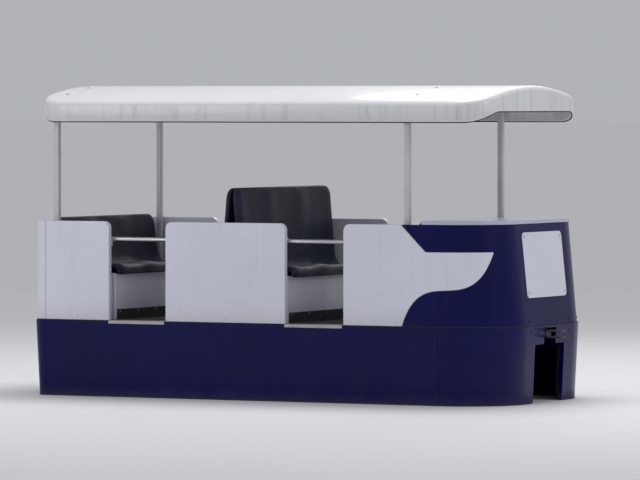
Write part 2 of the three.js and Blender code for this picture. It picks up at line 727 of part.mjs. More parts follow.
// Trucks: each group stands at its king pin.
function truckFrame() {
  const gussetEnd = TRUCK_HALF_LENGTH - CROSSBEAM_WIDTH;
  const platesOutline = [
    [-TRUCK_HALF_LENGTH, CROSSBEAM_LOW],
    [TRUCK_HALF_LENGTH, CROSSBEAM_LOW],
    [TRUCK_HALF_LENGTH, CROSSBEAM_HIGH],
    [gussetEnd, CROSSBEAM_HIGH],
    [PLATE_HALF_LENGTH, PLATE_SHOULDER],
    [PLATE_HALF_LENGTH, BRIDGE_HIGH],
    [-PLATE_HALF_LENGTH, BRIDGE_HIGH],
    [-PLATE_HALF_LENGTH, PLATE_SHOULDER],
    [-gussetEnd, CROSSBEAM_HIGH],
    [-TRUCK_HALF_LENGTH, CROSSBEAM_HIGH],
  ];
  const plates = cut(
    bothSides((s) => alongY(platesOutline, ...span(s, SIDE_PLATE_INNER, SIDE_PLATE_OUTER))),
    rod(AXLE_RADIUS + 1, [0, -200, LOAD_RADIUS], 400, "y", 24),
  );
  const bridge = box(
    [-PLATE_HALF_LENGTH, PLATE_HALF_LENGTH],
    [-SIDE_PLATE_OUTER, SIDE_PLATE_OUTER],
    [BRIDGE_LOW, BRIDGE_HIGH],
  );
  const padFoot = BRIDGE_HIGH - 1;
  const pad = rod(CENTRE_PAD_RADIUS, [0, 0, padFoot], BOLSTER_LOW - GAP - padFoot, "z", 24);
  const kingPin = rod(KING_PIN_RADIUS, [0, 0, padFoot], KING_PIN_TOP - padFoot, "z", 24);
  const crossbeams = bothSides((s) =>
    box(
      span(s, gussetEnd, TRUCK_HALF_LENGTH),
      [-LEG_OUTER, LEG_OUTER],
      [CROSSBEAM_LOW, CROSSBEAM_HIGH],
    ),
  );
  const ties = bothSides((s) =>
    box(
      [-TRUCK_HALF_LENGTH, TRUCK_HALF_LENGTH],
      span(s, LEG_INNER, LEG_OUTER),
      [CROSSBEAM_LOW, CROSSBEAM_HIGH],
    ),
  );
  const corner = (sx, sy) => {
    const along = [sx * GUIDE_X - GUIDE_ARM_HALF_WIDTH, sx * GUIDE_X + GUIDE_ARM_HALF_WIDTH];
    const arm = span(sy, GUIDE_Y - GUIDE_ARM_HALF_WIDTH, LEG_OUTER);
    const at = [sx * GUIDE_X, sy * GUIDE_Y];
    // The upper arm is as far above the wheel as the lower one is below.
    const upperArm = GUIDE_HIGH + GUIDE_LOW - LEG_BOTTOM;
    const lowerArm = LEG_BOTTOM + GUIDE_ARM_THICKNESS;
    const between = (low, high, radius) => rod(radius, [...at, low], high - low, "z", 12);
    return join(
      box(along, span(sy, LEG_INNER, LEG_OUTER), [LEG_BOTTOM, CROSSBEAM_LOW + 5]),
      box(along, arm, [upperArm - GUIDE_ARM_THICKNESS, upperArm]),
      box(along, arm, [LEG_BOTTOM, lowerArm]),
      between(lowerArm - 5, upperArm - 5, SPINDLE_RADIUS),
      between(lowerArm - 5, GUIDE_LOW - GAP, SPINDLE_BOSS_RADIUS),
      between(GUIDE_HIGH + GAP, upperArm - 5, SPINDLE_BOSS_RADIUS),
    );
  };
  const corners = bothSides((sx) => bothSides((sy) => corner(sx, sy)));
  return join(plates, bridge, pad, kingPin, crossbeams, ties, corners);
}

// Turned pieces: an outline of [radius, position along the axis], spun round that axis.
function turned(outline, segments, axis) {
  const geometry = new THREE.LatheGeometry(
    outline.map(([r, a]) => new THREE.Vector2(r, a)),
    segments,
  );
  if (axis === "z") geometry.rotateX(Math.PI / 2);
  return solid(geometry);
}
const LATHE_SEGMENTS = 24;
const mirroredRun = (half) => [...half.map(([r, a]) => [r, -a]).reverse(), ...half];
const loadAxle = turned(
  mirroredRun([
    [AXLE_RADIUS, LOAD_TYRE_INNER - 4],
    [LOAD_RIM_RADIUS - GAP, LOAD_TYRE_INNER + 2],
    [LOAD_RIM_RADIUS - GAP, LOAD_TYRE_OUTER - 2],
    [LOAD_RIM_RADIUS - 14, LOAD_TYRE_OUTER - 2],
    [LOAD_RIM_RADIUS - 26, LOAD_TYRE_OUTER - 20],
    [AXLE_RADIUS + 18, LOAD_TYRE_OUTER + 2],
    [AXLE_RADIUS, LOAD_TYRE_OUTER + 4],
    [AXLE_RADIUS, AXLE_HALF_LENGTH],
    [0, AXLE_HALF_LENGTH],
  ]),
  LATHE_SEGMENTS,
  "y",
);
const loadTyre = turned(
  [
    [LOAD_RIM_RADIUS, LOAD_TYRE_INNER],
    [LOAD_RADIUS - 14, LOAD_TYRE_INNER],
    [LOAD_RADIUS, LOAD_TYRE_INNER + 14],
    [LOAD_RADIUS, LOAD_TYRE_OUTER - 14],
    [LOAD_RADIUS - 14, LOAD_TYRE_OUTER],
    [LOAD_RIM_RADIUS, LOAD_TYRE_OUTER],
    [LOAD_RIM_RADIUS, LOAD_TYRE_INNER],
  ],
  LATHE_SEGMENTS,
  "y",
);
const guideMiddle = (GUIDE_LOW + GUIDE_HIGH) / 2;
const guideHalf = (GUIDE_HIGH - GUIDE_LOW) / 2;
const guideProfile = mirroredRun([
  [GUIDE_RADIUS, guideHalf - 18],
  [GUIDE_RADIUS - 10, guideHalf - 8],
  [GUIDE_RADIUS - 30, guideHalf - 8],
  [32, guideHalf - 20],
  [28, guideHalf],
  [GUIDE_BORE, guideHalf],
]);
const guideWheel = turned([...guideProfile, guideProfile[0]], 18, "z");

// Drive unit on the rear truck: one motor across the car with its foot and its gear case.
const MOTOR = { x: -295, z: 185, radius: 105, halfLength: 140 };
const driveUnit = cut(
  join(
    rod(MOTOR.radius, [MOTOR.x, -MOTOR.halfLength, MOTOR.z], 2 * MOTOR.halfLength, "y", 24),
    box([MOTOR.x - 20, MOTOR.x + 105], [-90, 90], [CROSSBEAM_HIGH + GAP, MOTOR.z - 40]),
    box([MOTOR.x, 0], [-26, 26], [LOAD_RADIUS - 48, LOAD_RADIUS + 48]),
    rod(48, [0, -26, LOAD_RADIUS], 52, "y", 24),
  ),
  rod(AXLE_RADIUS + 1, [0, -60, LOAD_RADIUS], 120, "y", 24),
);

// Current collector on the rear truck: an arm down from the right tie, and its upright shoe.
const COLLECTOR = { z: -62, armHalfWidth: 30, shoeHalfLength: 70, shoeHalfHeight: 22 };
const collectorArm = [-COLLECTOR.armHalfWidth, COLLECTOR.armHalfWidth];
const shoeFace = -BEAM_HALF_WIDTH - 8; // just outside the plane where the guide wheels touch
const collector = join(
  box(collectorArm, [-LEG_OUTER, -LEG_INNER], [COLLECTOR.z - 10, CROSSBEAM_LOW - GAP]),
  box(collectorArm, [-LEG_OUTER, shoeFace - 22], [COLLECTOR.z - 10, COLLECTOR.z + 4]),
  box(
    [-COLLECTOR.shoeHalfLength, COLLECTOR.shoeHalfLength],
    [shoeFace - 24, shoeFace],
    [COLLECTOR.z - COLLECTOR.shoeHalfHeight, COLLECTOR.z + COLLECTOR.shoeHalfHeight],
  ),
);

const frameShape = truckFrame();
for (const [name, x] of Object.entries(TRUCKS)) {
  const truck = new THREE.Group();
  truck.position.x = x;
  car.add(truck);
  add(truck, "truck_frame_" + name, frameShape, "steel");
  add(truck, "load_axle_" + name, loadAxle, "steel").position.z = LOAD_RADIUS;
  for (const [side, sign] of [["left", 1], ["right", -1]]) {
    const tyre = add(truck, "load_tyre_" + name + "_" + side, loadTyre, "rubber");
    tyre.position.z = LOAD_RADIUS;
    tyre.scale.y = sign;
    for (const [place, ahead] of [["lead", 1], ["trail", -1]])
      add(truck, "guide_wheel_" + name + "_" + side + "_" + place, guideWheel, "rubber").position.set(
        ahead * GUIDE_X,
        sign * GUIDE_Y,
        guideMiddle,
      );
  }
  if (name === "rear") {
    add(truck, "drive_unit", driveUnit, "motor");
    add(truck, "current_collector", collector, "steel");
  }
}

export default car;
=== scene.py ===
# Open-sided monorail car, dressed for the studio: moulded shells, seats, roof, frames and trucks.
# Metres. +X is forward, +Y is left, +Z is up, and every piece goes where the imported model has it.
import math

import bmesh
import bpy
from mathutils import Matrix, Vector


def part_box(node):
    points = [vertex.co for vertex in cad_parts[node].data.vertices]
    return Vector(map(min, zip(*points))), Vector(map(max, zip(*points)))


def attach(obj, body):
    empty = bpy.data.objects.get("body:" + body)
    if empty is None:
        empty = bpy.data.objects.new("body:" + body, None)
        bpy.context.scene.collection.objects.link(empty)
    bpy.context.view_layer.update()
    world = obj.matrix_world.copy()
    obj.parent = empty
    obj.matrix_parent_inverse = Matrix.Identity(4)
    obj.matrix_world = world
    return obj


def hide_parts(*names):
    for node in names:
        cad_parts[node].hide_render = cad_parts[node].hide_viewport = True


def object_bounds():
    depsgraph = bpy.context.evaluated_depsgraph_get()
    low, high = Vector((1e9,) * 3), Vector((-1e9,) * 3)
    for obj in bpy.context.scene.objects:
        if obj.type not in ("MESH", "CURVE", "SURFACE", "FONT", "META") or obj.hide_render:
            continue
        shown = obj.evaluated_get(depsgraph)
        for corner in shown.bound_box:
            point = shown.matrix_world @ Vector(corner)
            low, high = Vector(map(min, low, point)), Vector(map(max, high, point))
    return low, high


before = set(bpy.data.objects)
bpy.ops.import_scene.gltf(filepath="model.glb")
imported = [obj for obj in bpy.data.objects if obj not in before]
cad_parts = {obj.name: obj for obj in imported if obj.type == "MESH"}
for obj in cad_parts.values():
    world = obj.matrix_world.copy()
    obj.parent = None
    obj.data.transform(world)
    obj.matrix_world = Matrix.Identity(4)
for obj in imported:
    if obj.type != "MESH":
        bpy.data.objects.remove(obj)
cad_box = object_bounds()

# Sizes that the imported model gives.
BODY = "car_body"
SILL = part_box("floor")[1].z
SKIRT_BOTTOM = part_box("skirt_left")[0].z
SKIRT_HALF_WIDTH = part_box("skirt_left")[1].y
PANEL_FOOT, PANEL_TOP = (corner.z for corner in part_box("front_wall"))
PANEL_HALF_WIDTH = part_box("front_wall")[1].y
FRONT_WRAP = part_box("front_apron")[0].x
REAR_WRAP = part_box("rear_apron")[1].x
CANOPY_LOW, CANOPY_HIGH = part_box("canopy")
SEAT_BASE_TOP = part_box("seat_base_front")[1].z

# How far a fitting stands off the surface that it lies on.
GAP = 0.0003

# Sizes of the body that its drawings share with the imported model.
SKIRT_THICKNESS = 0.030
SKIRT_LEAN = 0.025
PANEL_THICKNESS = 0.040
PANEL_CORNER = 0.045
SEAM = 0.002
FRONT_CORNER = 0.100
REAR_CORNER = 0.450
REAR_CORNER_AT_TOP = 0.420
REAR_FACE_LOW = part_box("rear_fairing")[0].x
REAR_FACE_HIGH = REAR_FACE_LOW + 0.070
SWEEP_LOW_X = -1.040
SWEEP_HIGH_X = -1.620
SWEEP_CONTROLS = ((-1.190, 0.620), (-1.540, 0.160))
BAND_LOW = 0.645
BAND_FORE = -1.035
TUNNEL_HALF_WIDTH = 0.230
TUNNEL_TOP = 0.025
COUPLER_NOTCH_HALF_WIDTH = 0.090
COUPLER_NOTCH_TOP = 0.132
CORNER_STEPS = 20

# How the edges of the skirts and of the white walls are rounded: radius and steps.
SKIRT_EDGE = (0.004, 3)
WALL_EDGE = (0.007, 4)

# Rear plate: blank, on the middle of the raked rear face.
PLATE_HALF_WIDTH = 0.310
PLATE_LOW = 0.335
PLATE_HIGH = 0.765
PLATE_CORNER = 0.030
PLATE_THICKNESS = 0.006
PLATE_SCREW_INSET = 0.030

# Screws: x of the first and last of each row on the white side walls, and their heights.
WALL_SCREW_ROWS = ((1.600, 1.190), (0.680, -0.140), (-0.650, -1.000))
WALL_SCREW_PITCH = 0.205
WALL_SCREW_Z = PANEL_FOOT + 0.032
SKIRT_SCREW_Z = SILL - 0.045
SKIRT_SCREWS = 15

# Bead along the foot of the walls.
SILL_BEAD_Z = SILL + 0.003
SILL_BEAD_RADIUS = 0.0032

# Canopy: its plan's corners, its wall, how far the arch rises, how the edge lifts at the ends,
# and how far in from the edge the points of the crown stop.
CANOPY_CORNER = 0.240
CANOPY_WALL = 0.025
CANOPY_RISE = 0.110
CANOPY_EDGE_LIFT = 0.070
CANOPY_SHOULDER = 0.035
CANOPY_RIM = 0.050
CANOPY_LONG_STEPS = 24
CANOPY_CROSS_STEPS = 20
ARCH_RADIUS = (CANOPY_HIGH.y**2 + CANOPY_RISE**2) / (2 * CANOPY_RISE)
BEAD_RADIUS = 0.0045

# Ribs under the canopy: x of those across and how far they reach, y of those along and their
# ends, and the section as places across a rib and heights from the shell.
RIBS_ACROSS = (1.080, 0.550, 0.020, -0.510)
RIB_REACH = 0.660
RIBS_ALONG = (-0.420, 0.420)
RIB_ENDS = (-1.000, 1.530)
RIB_SECTION = ((-0.034, 0.001), (-0.018, -0.013), (0.018, -0.013), (0.034, 0.001))

# Roof frames of square tube, their bolted feet, and y of the bolts that hold the canopy.
ROOF_FRAMES = {"front": 1.585, "rear": -1.050}
TUBE = 0.038
TUBE_CORNER = 0.006
POST_Y = 0.722
FRAME_CLEARANCE = 0.0009
FRAME_BEND = 0.090
FOOT_HALF_LENGTH = 0.058
FOOT_HALF_WIDTH = 0.027
FOOT_TOP = SILL + 0.0065
FOOT_BOLT_X = 0.042
CANOPY_BOLTS = (-0.580, -0.290, 0, 0.290, 0.580)

# Benches: x of the lip and of the foot of the back, how far it leans, how high it reaches,
# and the way it faces.
BENCHES = {
    "front": (1.134, 1.590, 0.046, 0.850, -1),
    "middle_front": (0.728, 0.334, 0.045, 1.060, 1),
    "middle_rear": (-0.188, 0.206, 0.045, 1.060, -1),
    "rear": (-0.618, -1.080, 0.046, 0.850, 1),
}
BENCH_THICKNESS = 0.028
SEATS_ACROSS = 3
SEAT_WIDTH = 0.450
SEAT_RIDGE = 0.013
RIDGE_FADE = 0.045
LIP_CORNER = 0.035
BACK_CORNER = 0.070
SEAT_STEPS = 18
BENCH_STEPS = 70

# Entrances and foot wells between the benches: x from and to.
ENTRANCES = {"front": (0.722, 1.148), "rear": (-0.608, -0.182)}
FOOT_WELLS = {"front": (0.700, 1.146), "rear": (-0.630, -0.160)}
FLOOR_RIB_REACH = 0.686
FLOOR_RIB_PITCH = 0.0118

# Nosings: an angle over the sill in each entrance, with low ribs along its top.
NOSING_INNER = 0.697
NOSING_FACE = 0.8006
NOSING_OUTER = 0.8030
NOSING_TOP = SILL + 0.0028
NOSING_DROP = 0.016
NOSING_RIBS = 7
NOSING_RIB_Y = 0.794
NOSING_RIB_PITCH = 0.0135
NOSING_SCREW_Y = 0.7825

# Kick strips along the foot of the seat bases.
KICK_HALF_WIDTH = 0.672
KICK_LOW = SILL + 0.006
KICK_HIGH = SILL + 0.075
KICK_THICKNESS = 0.0025
KICK_SCREWS = 6
KICK_SCREW_Y = 0.630
KICK_SCREW_PITCH = 0.252
KICK_SCREW_Z = SILL + 0.060

# Safety bars: x of the pivot, of the tip and of the catch.
BARS = {"front": (0.690, 1.178, 1.166), "rear": (-0.150, -0.638, -0.626)}
BAR_Y = 0.730
BAR_Z = 0.700
BAR_RADIUS = 0.014
BAR_EYE_RADIUS = 0.026
BAR_PIN_RADIUS = 0.011
BAR_EYE_HALF_WIDTH = 0.014
BAR_ROOT = BAR_EYE_RADIUS - 0.004

# A bar's pin as (radius, place along it): cap, shaft and foot on the panel.
BAR_PIN = (
    (0, 0.020), (0.022, 0.020), (0.022, 0.0165), (BAR_PIN_RADIUS, 0.0155),
    (BAR_PIN_RADIUS, -0.0150), (0.017, -0.0155), (0.017, -0.0190), (0.012, -0.0230), (0, -0.0240),
)

# Plate, shelf and lip of a bar's catch: y from and to, z from and to, and half the length.
CATCH_BLOCKS = (
    (0.7466, 0.7500, 0.652, 0.716, 0.022),
    (0.7080, 0.7470, 0.6765, 0.6855, 0.013),
    (0.7080, 0.7125, 0.6850, 0.7000, 0.013),
)
CATCH_SCREWS_Z = (0.660, 0.7085)

# Trucks: x of the king pins, and the wheels' places and sizes from there.
TRUCKS = {"front": 1.350, "rear": -1.200}
LOAD_RADIUS = 0.150
RIM_RADIUS = 0.103
TYRE_INNER = 0.035
TYRE_OUTER = 0.125
AXLE_RADIUS = 0.025
AXLE_HALF_LENGTH = 0.168
SIDE_PLATE_OUTER = 0.170
GUIDE_RADIUS = 0.100
GUIDE_X = 0.205
GUIDE_Y = 0.250
GUIDE_Z = -0.180
GUIDE_HALF_WIDTH = 0.052
LEG_BOTTOM = -0.290
TRUCK_CROSSBEAM_TOP = 0.055

# Drive on the rear truck: the motor across it, its foot and the box on its top.
DRIVE_BODY = "truck_rear"
MOTOR_X = TRUCKS["rear"] - 0.295
MOTOR_Z = 0.185
MOTOR_FINS = 30
MOTOR_FIN_RADIUS = 0.103
MOTOR_BARREL_RADIUS = 0.089
MOTOR_FOOT_LOW = TRUCK_CROSSBEAM_TOP + GAP
MOTOR_FOOT_HIGH = MOTOR_FOOT_LOW + 0.012
TERMINAL_BOX_LOW = MOTOR_Z + 0.086
TERMINAL_LID_LOW = TERMINAL_BOX_LOW + 0.036
TERMINAL_LID_HIGH = TERMINAL_LID_LOW + 0.008

# Underframe of welded tube: x of each cross member and how far it reaches to either side.
OUTRIGGER_REACH = 0.7654
CROSS_MEMBERS = {
    1.668: 0.700,
    1.080: OUTRIGGER_REACH,
    0.290: OUTRIGGER_REACH,
    -0.400: OUTRIGGER_REACH,
    -0.960: OUTRIGGER_REACH,
    -1.675: 0.455,
}
CROSS_HALF_WIDTH = 0.022
RAIL_Y = 0.355
RAIL_HALF_WIDTH = 0.025
RAIL_LOW = 0.065
RAIL_SETBACK = 0.0375
BEAM_CORNER = 0.006
WELD_RADIUS = 0.0028

# Couplers: a drawbar in a clevis in front, and a fixed jaw behind.
COUPLING_PIN = 1.825
DRAWBAR_PIVOT = 1.722
COUPLER_Z = 0.090
CLEVIS_ROOT = 1.690
CLEVIS_HALF_WIDTH = 0.032
CLEVIS_INNER = 0.015
CLEVIS_PLATE = 0.011
JAW_WEB = 1.735

# Studio: the floor, the sky's colours, and each lamp's place, size and power.
FLOOR_RADIUS = 400
HORIZON = (0.75, 0.775, 0.815, 1.0)
ZENITH = (0.93, 0.94, 0.97, 1.0)
LAMP_AIM = Vector((0, 0, 0.7))
LAMPS = {
    "key": ((-0.5, -1.5, 8.0), 3.5, 290),
    "fill": ((4.5, 6.5, 3.0), 4.0, 70),
    "back": ((1.5, -7.0, 5.5), 4.0, 70),
    "rear": ((-7.5, 1.0, 3.5), 3.0, 60),
}

# Camera: degrees round from the right side and up, metres away, and what it looks at.
CAMERA_AZIMUTH = 206.9
CAMERA_ELEVATION = 1.5
CAMERA_DISTANCE = 36.0
CAMERA_LENS = 300
CAMERA_AIM = Vector((-0.04, 0, 0.69))


class Field:
    """An output socket of a node tree. Arithmetic on it adds Math nodes to that tree."""

    def __init__(self, tree, socket):
        self.tree = tree
        self.socket = socket

    def maths(self, operation, first, second, clamp=False):
        settings = {"operation": operation, "use_clamp": clamp}
        return self.tree.node("ShaderNodeMath", settings, {0: first, 1: second})

    def __add__(self, other):
        return self.maths("ADD", self, other)

    def __sub__(self, other):
        return self.maths("SUBTRACT", self, other)

    def __rsub__(self, other):
        return self.maths("SUBTRACT", other, self)

    def __mul__(self, other):
        return self.maths("MULTIPLY", self, other)

    __radd__ = __add__
    __rmul__ = __mul__

    def clamped(self):
        return self.maths("ADD", self, 0.0, clamp=True)

    def size(self):
        return self.maths("ABSOLUTE", self, 0.0)

    def between(self, low, high):
        """0 at low and below, 1 at high and above, smooth on the way."""
        settings = {"interpolation_type": "SMOOTHSTEP"}
        sockets = {"Value": self, "From Min": low, "From Max": high}
        return self.tree.node("ShaderNodeMapRange", settings, sockets)


class Tree:
    """A node tree, and the one method that adds a node to it."""

    def __init__(self, tree):
        self.tree = tree

    def node(self, kind, settings=None, sockets=None, output=0):
        made = self.tree.nodes.new(kind)
        for name, value in (settings or {}).items():
            if name == "stops":
                self.set_stops(made.color_ramp.elements, value)
            else:
                setattr(made, name, value)
        for name, value in (sockets or {}).items():
            self.feed(self.socket_of(made.inputs, name), value)
        return Field(self, self.socket_of(made.outputs, output))

    def feed(self, socket, value):
        if isinstance(value, Field):
            self.tree.links.new(value.socket, socket)
        else:
            socket.default_value = value

    @staticmethod
    def set_stops(elements, stops):
        while len(elements) < len(stops):
            elements.new(1.0)
        for element, (position, colour) in zip(elements, stops):
            element.position = position
            element.color = (*colour, 1.0)

    @staticmethod
    def socket_of(sockets, name):
        if isinstance(name, int):
            return sockets[name]
        return next((s for s in sockets if s.identifier == name), None) or sockets[name]


class Finish(Tree):
    """One material: a principled surface, and the patterns that its colour and gloss are made of."""

    def __init__(self, name, roughness=0.5, metallic=0.0, coat=0.0, coat_roughness=0.08):
        self.material = bpy.data.materials.new(name)
        self.material.use_nodes = True
        super().__init__(self.material.node_tree)
        self.surface = self.tree.nodes["Principled BSDF"].inputs
        self.surface["Roughness"].default_value = roughness
        self.surface["Metallic"].default_value = metallic
        self.surface["Coat Weight"].default_value = coat
        self.surface["Coat Roughness"].default_value = coat_roughness
        self.place = self.node("ShaderNodeTexCoord", output="Object")
        self.bumps = None

    def height(self):
        """How high a point lies, in metres."""
        return self.node("ShaderNodeSeparateXYZ", sockets={0: self.place}, output="Z")

    def facing_up(self):
        """1 on level tops, 0 on walls and undersides."""
        normal = self.node("ShaderNodeTexCoord", output="Normal")
        return self.node("ShaderNodeSeparateXYZ", sockets={0: normal}, output="Z").clamped()

    def standing(self):
        """1 on walls, 0 on level tops and undersides."""
        normal = self.node("ShaderNodeTexCoord", output="Normal")
        rise = self.node("ShaderNodeSeparateXYZ", sockets={0: normal}, output="Z")
        return (1 - rise.size()).clamped()

    def edge_wear(self):
        """1 on the rounded edges of a piece, where its mesh marks them."""
        return self.node("ShaderNodeAttribute", {"attribute_name": "edge"}, output="Fac")

    def stretched(self, stretch):
        settings = {"operation": "MULTIPLY"}
        return self.node("ShaderNodeVectorMath", settings, {0: self.place, 1: stretch})

    def noise(self, scale, detail=3.0, roughness=0.55, stretch=(1, 1, 1)):
        """Clouds from 0 to 1, scale to a metre. A stretch under 1 draws them out along that axis."""
        sockets = {
            "Vector": self.stretched(stretch),
            "Scale": scale,
            "Detail": detail,
            "Roughness": roughness,
        }
        return self.node("ShaderNodeTexNoise", sockets=sockets)

    def cells(self, scale):
        """Soft pebbles, 0 in the middle of each."""
        sockets = {"Vector": self.place, "Scale": scale}
        return self.node("ShaderNodeTexVoronoi", {"feature": "SMOOTH_F1"}, sockets, "Distance")

    def mixed(self, share, below, above):
        """A colour between two, by a share from 0 to 1."""
        below, above = (c if isinstance(c, Field) else (*c, 1.0) for c in (below, above))
        settings = {"data_type": "RGBA"}
        sockets = {"Factor_Float": share, "A_Color": below, "B_Color": above}
        return self.node("ShaderNodeMix", settings, sockets, "Result_Color")

    def bump(self, height, distance, strength=1.0):
        """Relief of a pattern from 0 to 1, distance metres deep, on top of what is there."""
        sockets = {"Height": height, "Distance": distance, "Strength": strength}
        if self.bumps:
            sockets["Normal"] = self.bumps
        self.bumps = self.node("ShaderNodeBump", sockets=sockets)

    def done(self, colour, roughness=None, metallic=None, coat=None):
        self.feed(self.surface["Base Color"], colour)
        for name, value in (("Roughness", roughness), ("Metallic", metallic), ("Coat Weight", coat)):
            if value is not None:
                self.feed(self.surface[name], value)
        if self.bumps:
            self.feed(self.surface["Normal"], self.bumps)
        return self.material


DUST = (0.30, 0.28, 0.25)
GRIME = (0.055, 0.050, 0.045)
RUST = (0.16, 0.055, 0.018)


def gelcoat(name, colour, shade, dust_from, dust_to, dust_share, shine=0.5):
    """Moulded panel: glossy, a little uneven, rain-streaked, and dusty between two heights."""
    skin = Finish(name, coat_roughness=0.06)
    skin.surface["Specular IOR Level"].default_value = shine
    clouds = skin.noise(1.7, 4)
    streaks = skin.noise(26, 3, stretch=(1, 1, 0.06)).between(0.55, 0.80)
    specks = skin.noise(95, 4).between(0.64, 0.78)
    low = skin.noise(7, 5)
    reach = skin.height() + (low - 0.5) * 0.12
    foot = reach.between(dust_to, dust_from)
    tone = skin.mixed(clouds.between(0.3, 0.7), colour, shade)
    tone = skin.mixed(skin.standing() * streaks * 0.09 + specks * 0.05, tone, GRIME)
    tone = skin.mixed(foot * dust_share * (low * 0.8 + 0.5), tone, DUST)
    chips = skin.edge_wear() * skin.noise(60, 4).between(0.60, 0.70)
    tone = skin.mixed(chips * 0.35, tone, tuple(0.10 + 0.6 * c for c in colour))
    skin.bump(skin.noise(150, 2), 0.0003, 0.3)
    gloss = 0.26 + clouds * 0.08 + streaks * 0.12 + foot * 0.35 + specks * 0.1
    return skin.done(tone, roughness=gloss, coat=(shine - foot * 0.4 * shine).clamped())


def canopy_gelcoat():
    """White roof shell: clean on the crown, streaked down its turned edge, and greyed with painted shade
    wherever it does not face up.
    """
    shell = Finish("canopy_gelcoat", coat=0.5, coat_roughness=0.1)
    top = shell.facing_up()
    wall = shell.standing()
    height = shell.height()
    clouds = shell.noise(1.3, 4)
    streaks = shell.noise(22, 4, stretch=(1, 1, 0.10)).between(0.48, 0.75)
    edge = height.between(CANOPY_LOW.z + 0.10, CANOPY_LOW.z)
    blown = shell.noise(30, 5).between(0.5, 0.72)
    tone = shell.mixed(clouds.between(0.3, 0.7), (0.80, 0.81, 0.825), (0.75, 0.76, 0.77))
    # Painted shade: the turned edge and the underside, every face that does not face up, are greyed
    # towards a faint green grey.
    tone = shell.mixed((1 - top) * 0.30, tone, (0.55, 0.58, 0.54))
    tone = shell.mixed(wall * streaks * 0.30, tone, (0.24, 0.25, 0.23))
    tone = shell.mixed(wall * edge * 0.25 + blown * top * 0.08, tone, (0.30, 0.31, 0.27))
    shell.bump(shell.noise(120, 2), 0.0003, 0.3)
    return shell.done(tone, roughness=0.28 + clouds * 0.1 + streaks * 0.12 + edge * 0.15)


def seat_plastic():
    """Moulded seat: dark navy, fine hide grain, polished and paler where it is sat on."""
    seat = Finish("seat_plastic")
    seat.surface["Specular IOR Level"].default_value = 0.3
    grain = seat.cells(520)
    rubbed = seat.noise(5, 4).between(0.42, 0.72)
    scuffs = seat.noise(40, 5, stretch=(1, 0.25, 1)).between(0.6, 0.72)
    tone = seat.mixed(rubbed * 0.5, (0.009, 0.013, 0.032), (0.016, 0.022, 0.048))
    tone = seat.mixed(scuffs * 0.12, tone, (0.08, 0.09, 0.12))
    tone = seat.mixed(seat.facing_up() * seat.noise(11, 5).between(0.5, 0.8) * 0.08, tone, DUST)
    seat.bump(grain, 0.0005, 0.55)
    return seat.done(tone, roughness=0.46 - rubbed * 0.06 + scuffs * 0.15 + grain * 0.06)


def floor_rubber():
    """Ribbed floor covering, grey with trodden dust in its grooves."""
    cover = Finish("floor_rubber")
    trodden = cover.noise(4, 5).between(0.35, 0.7)
    grit = cover.noise(160, 4).between(0.58, 0.72)
    level = cover.height().between(SILL + 0.003, SILL)
    up = cover.facing_up()
    tone = cover.mixed(up * trodden, (0.044, 0.046, 0.050), (0.066, 0.066, 0.066))
    tone = cover.mixed(up * level * trodden * 0.35 + grit * 0.12, tone, DUST)
    cover.bump(cover.noise(300, 2), 0.0004, 0.5)
    return cover.done(tone, roughness=0.66 + trodden * 0.2)


def enamel(name, colour, shade, metal_share=0.5):
    """Enamel on steel: chipped at its edges, dusty on top, streaked with a little rust."""
    paint = Finish(name, coat=0.25, coat_roughness=0.15)
    clouds = paint.noise(6, 4)
    chips = paint.edge_wear() * paint.noise(70, 4).between(0.50, 0.60)
    spots = paint.noise(48, 5).between(0.68, 0.76)
    bare = (chips + spots * 0.6).clamped()
    rust = paint.noise(130, 4).between(0.38, 0.62)
    tone = paint.mixed(clouds.between(0.3, 0.7), colour, shade)
    tone = paint.mixed(bare, tone, paint.mixed(rust, (0.20, 0.19, 0.18), RUST))
    tone = paint.mixed(paint.facing_up() * paint.noise(15, 5).between(0.35, 0.75) * 0.35, tone, DUST)
    paint.bump(1 - bare, 0.0003, 0.6)
    paint.bump(paint.noise(170, 2), 0.0003, 0.3)
    return paint.done(tone, roughness=0.36 + clouds * 0.1 + bare * 0.25, metallic=bare * metal_share)


def chassis_enamel():
    """Dark grey chassis paint under brake dust, with rust where it is chipped."""
    paint = Finish("chassis_enamel")
    clouds = paint.noise(9, 5)
    chips = paint.edge_wear() * paint.noise(55, 4).between(0.46, 0.58)
    scabs = paint.noise(30, 6, 0.65).between(0.60, 0.70)
    bare = (chips + scabs * 0.8).clamped()
    film = paint.noise(3.5, 5).between(0.3, 0.75)
    tone = paint.mixed(clouds.between(0.3, 0.7), (0.046, 0.049, 0.053), (0.066, 0.067, 0.070))
    tone = paint.mixed(bare * 0.60, tone, paint.mixed(paint.noise(120, 4), RUST, (0.24, 0.12, 0.06)))
    tone = paint.mixed(film * 0.22 + paint.facing_up() * 0.25, tone, (0.16, 0.14, 0.12))
    paint.bump(paint.noise(110, 3), 0.0005, 0.4)
    paint.bump(scabs, 0.0005, 0.5)
    return paint.done(tone, roughness=0.48 + bare * 0.3 + film * 0.15)


def bare_metal(name, colour, roughness, along, grime_share=0.25):
    """Bare metal: fine lines along one axis, and a little grime in them."""
    metal = Finish(name, metallic=1.0)
    stretch = tuple(0.02 if axis == along else 1 for axis in "xyz")
    lines = metal.noise(420, 3, stretch=stretch)
    stain = metal.noise(12, 5).between(0.45, 0.75)
    darker = tuple(c * 0.72 for c in colour)
    tone = metal.mixed(lines.between(0.3, 0.7), darker, colour)
    tone = metal.mixed(stain * grime_share, tone, GRIME)
    metal.bump(lines, 0.0001, 0.12)
    return metal.done(tone, roughness=roughness + lines * 0.14 + stain * 0.18 - 0.07)


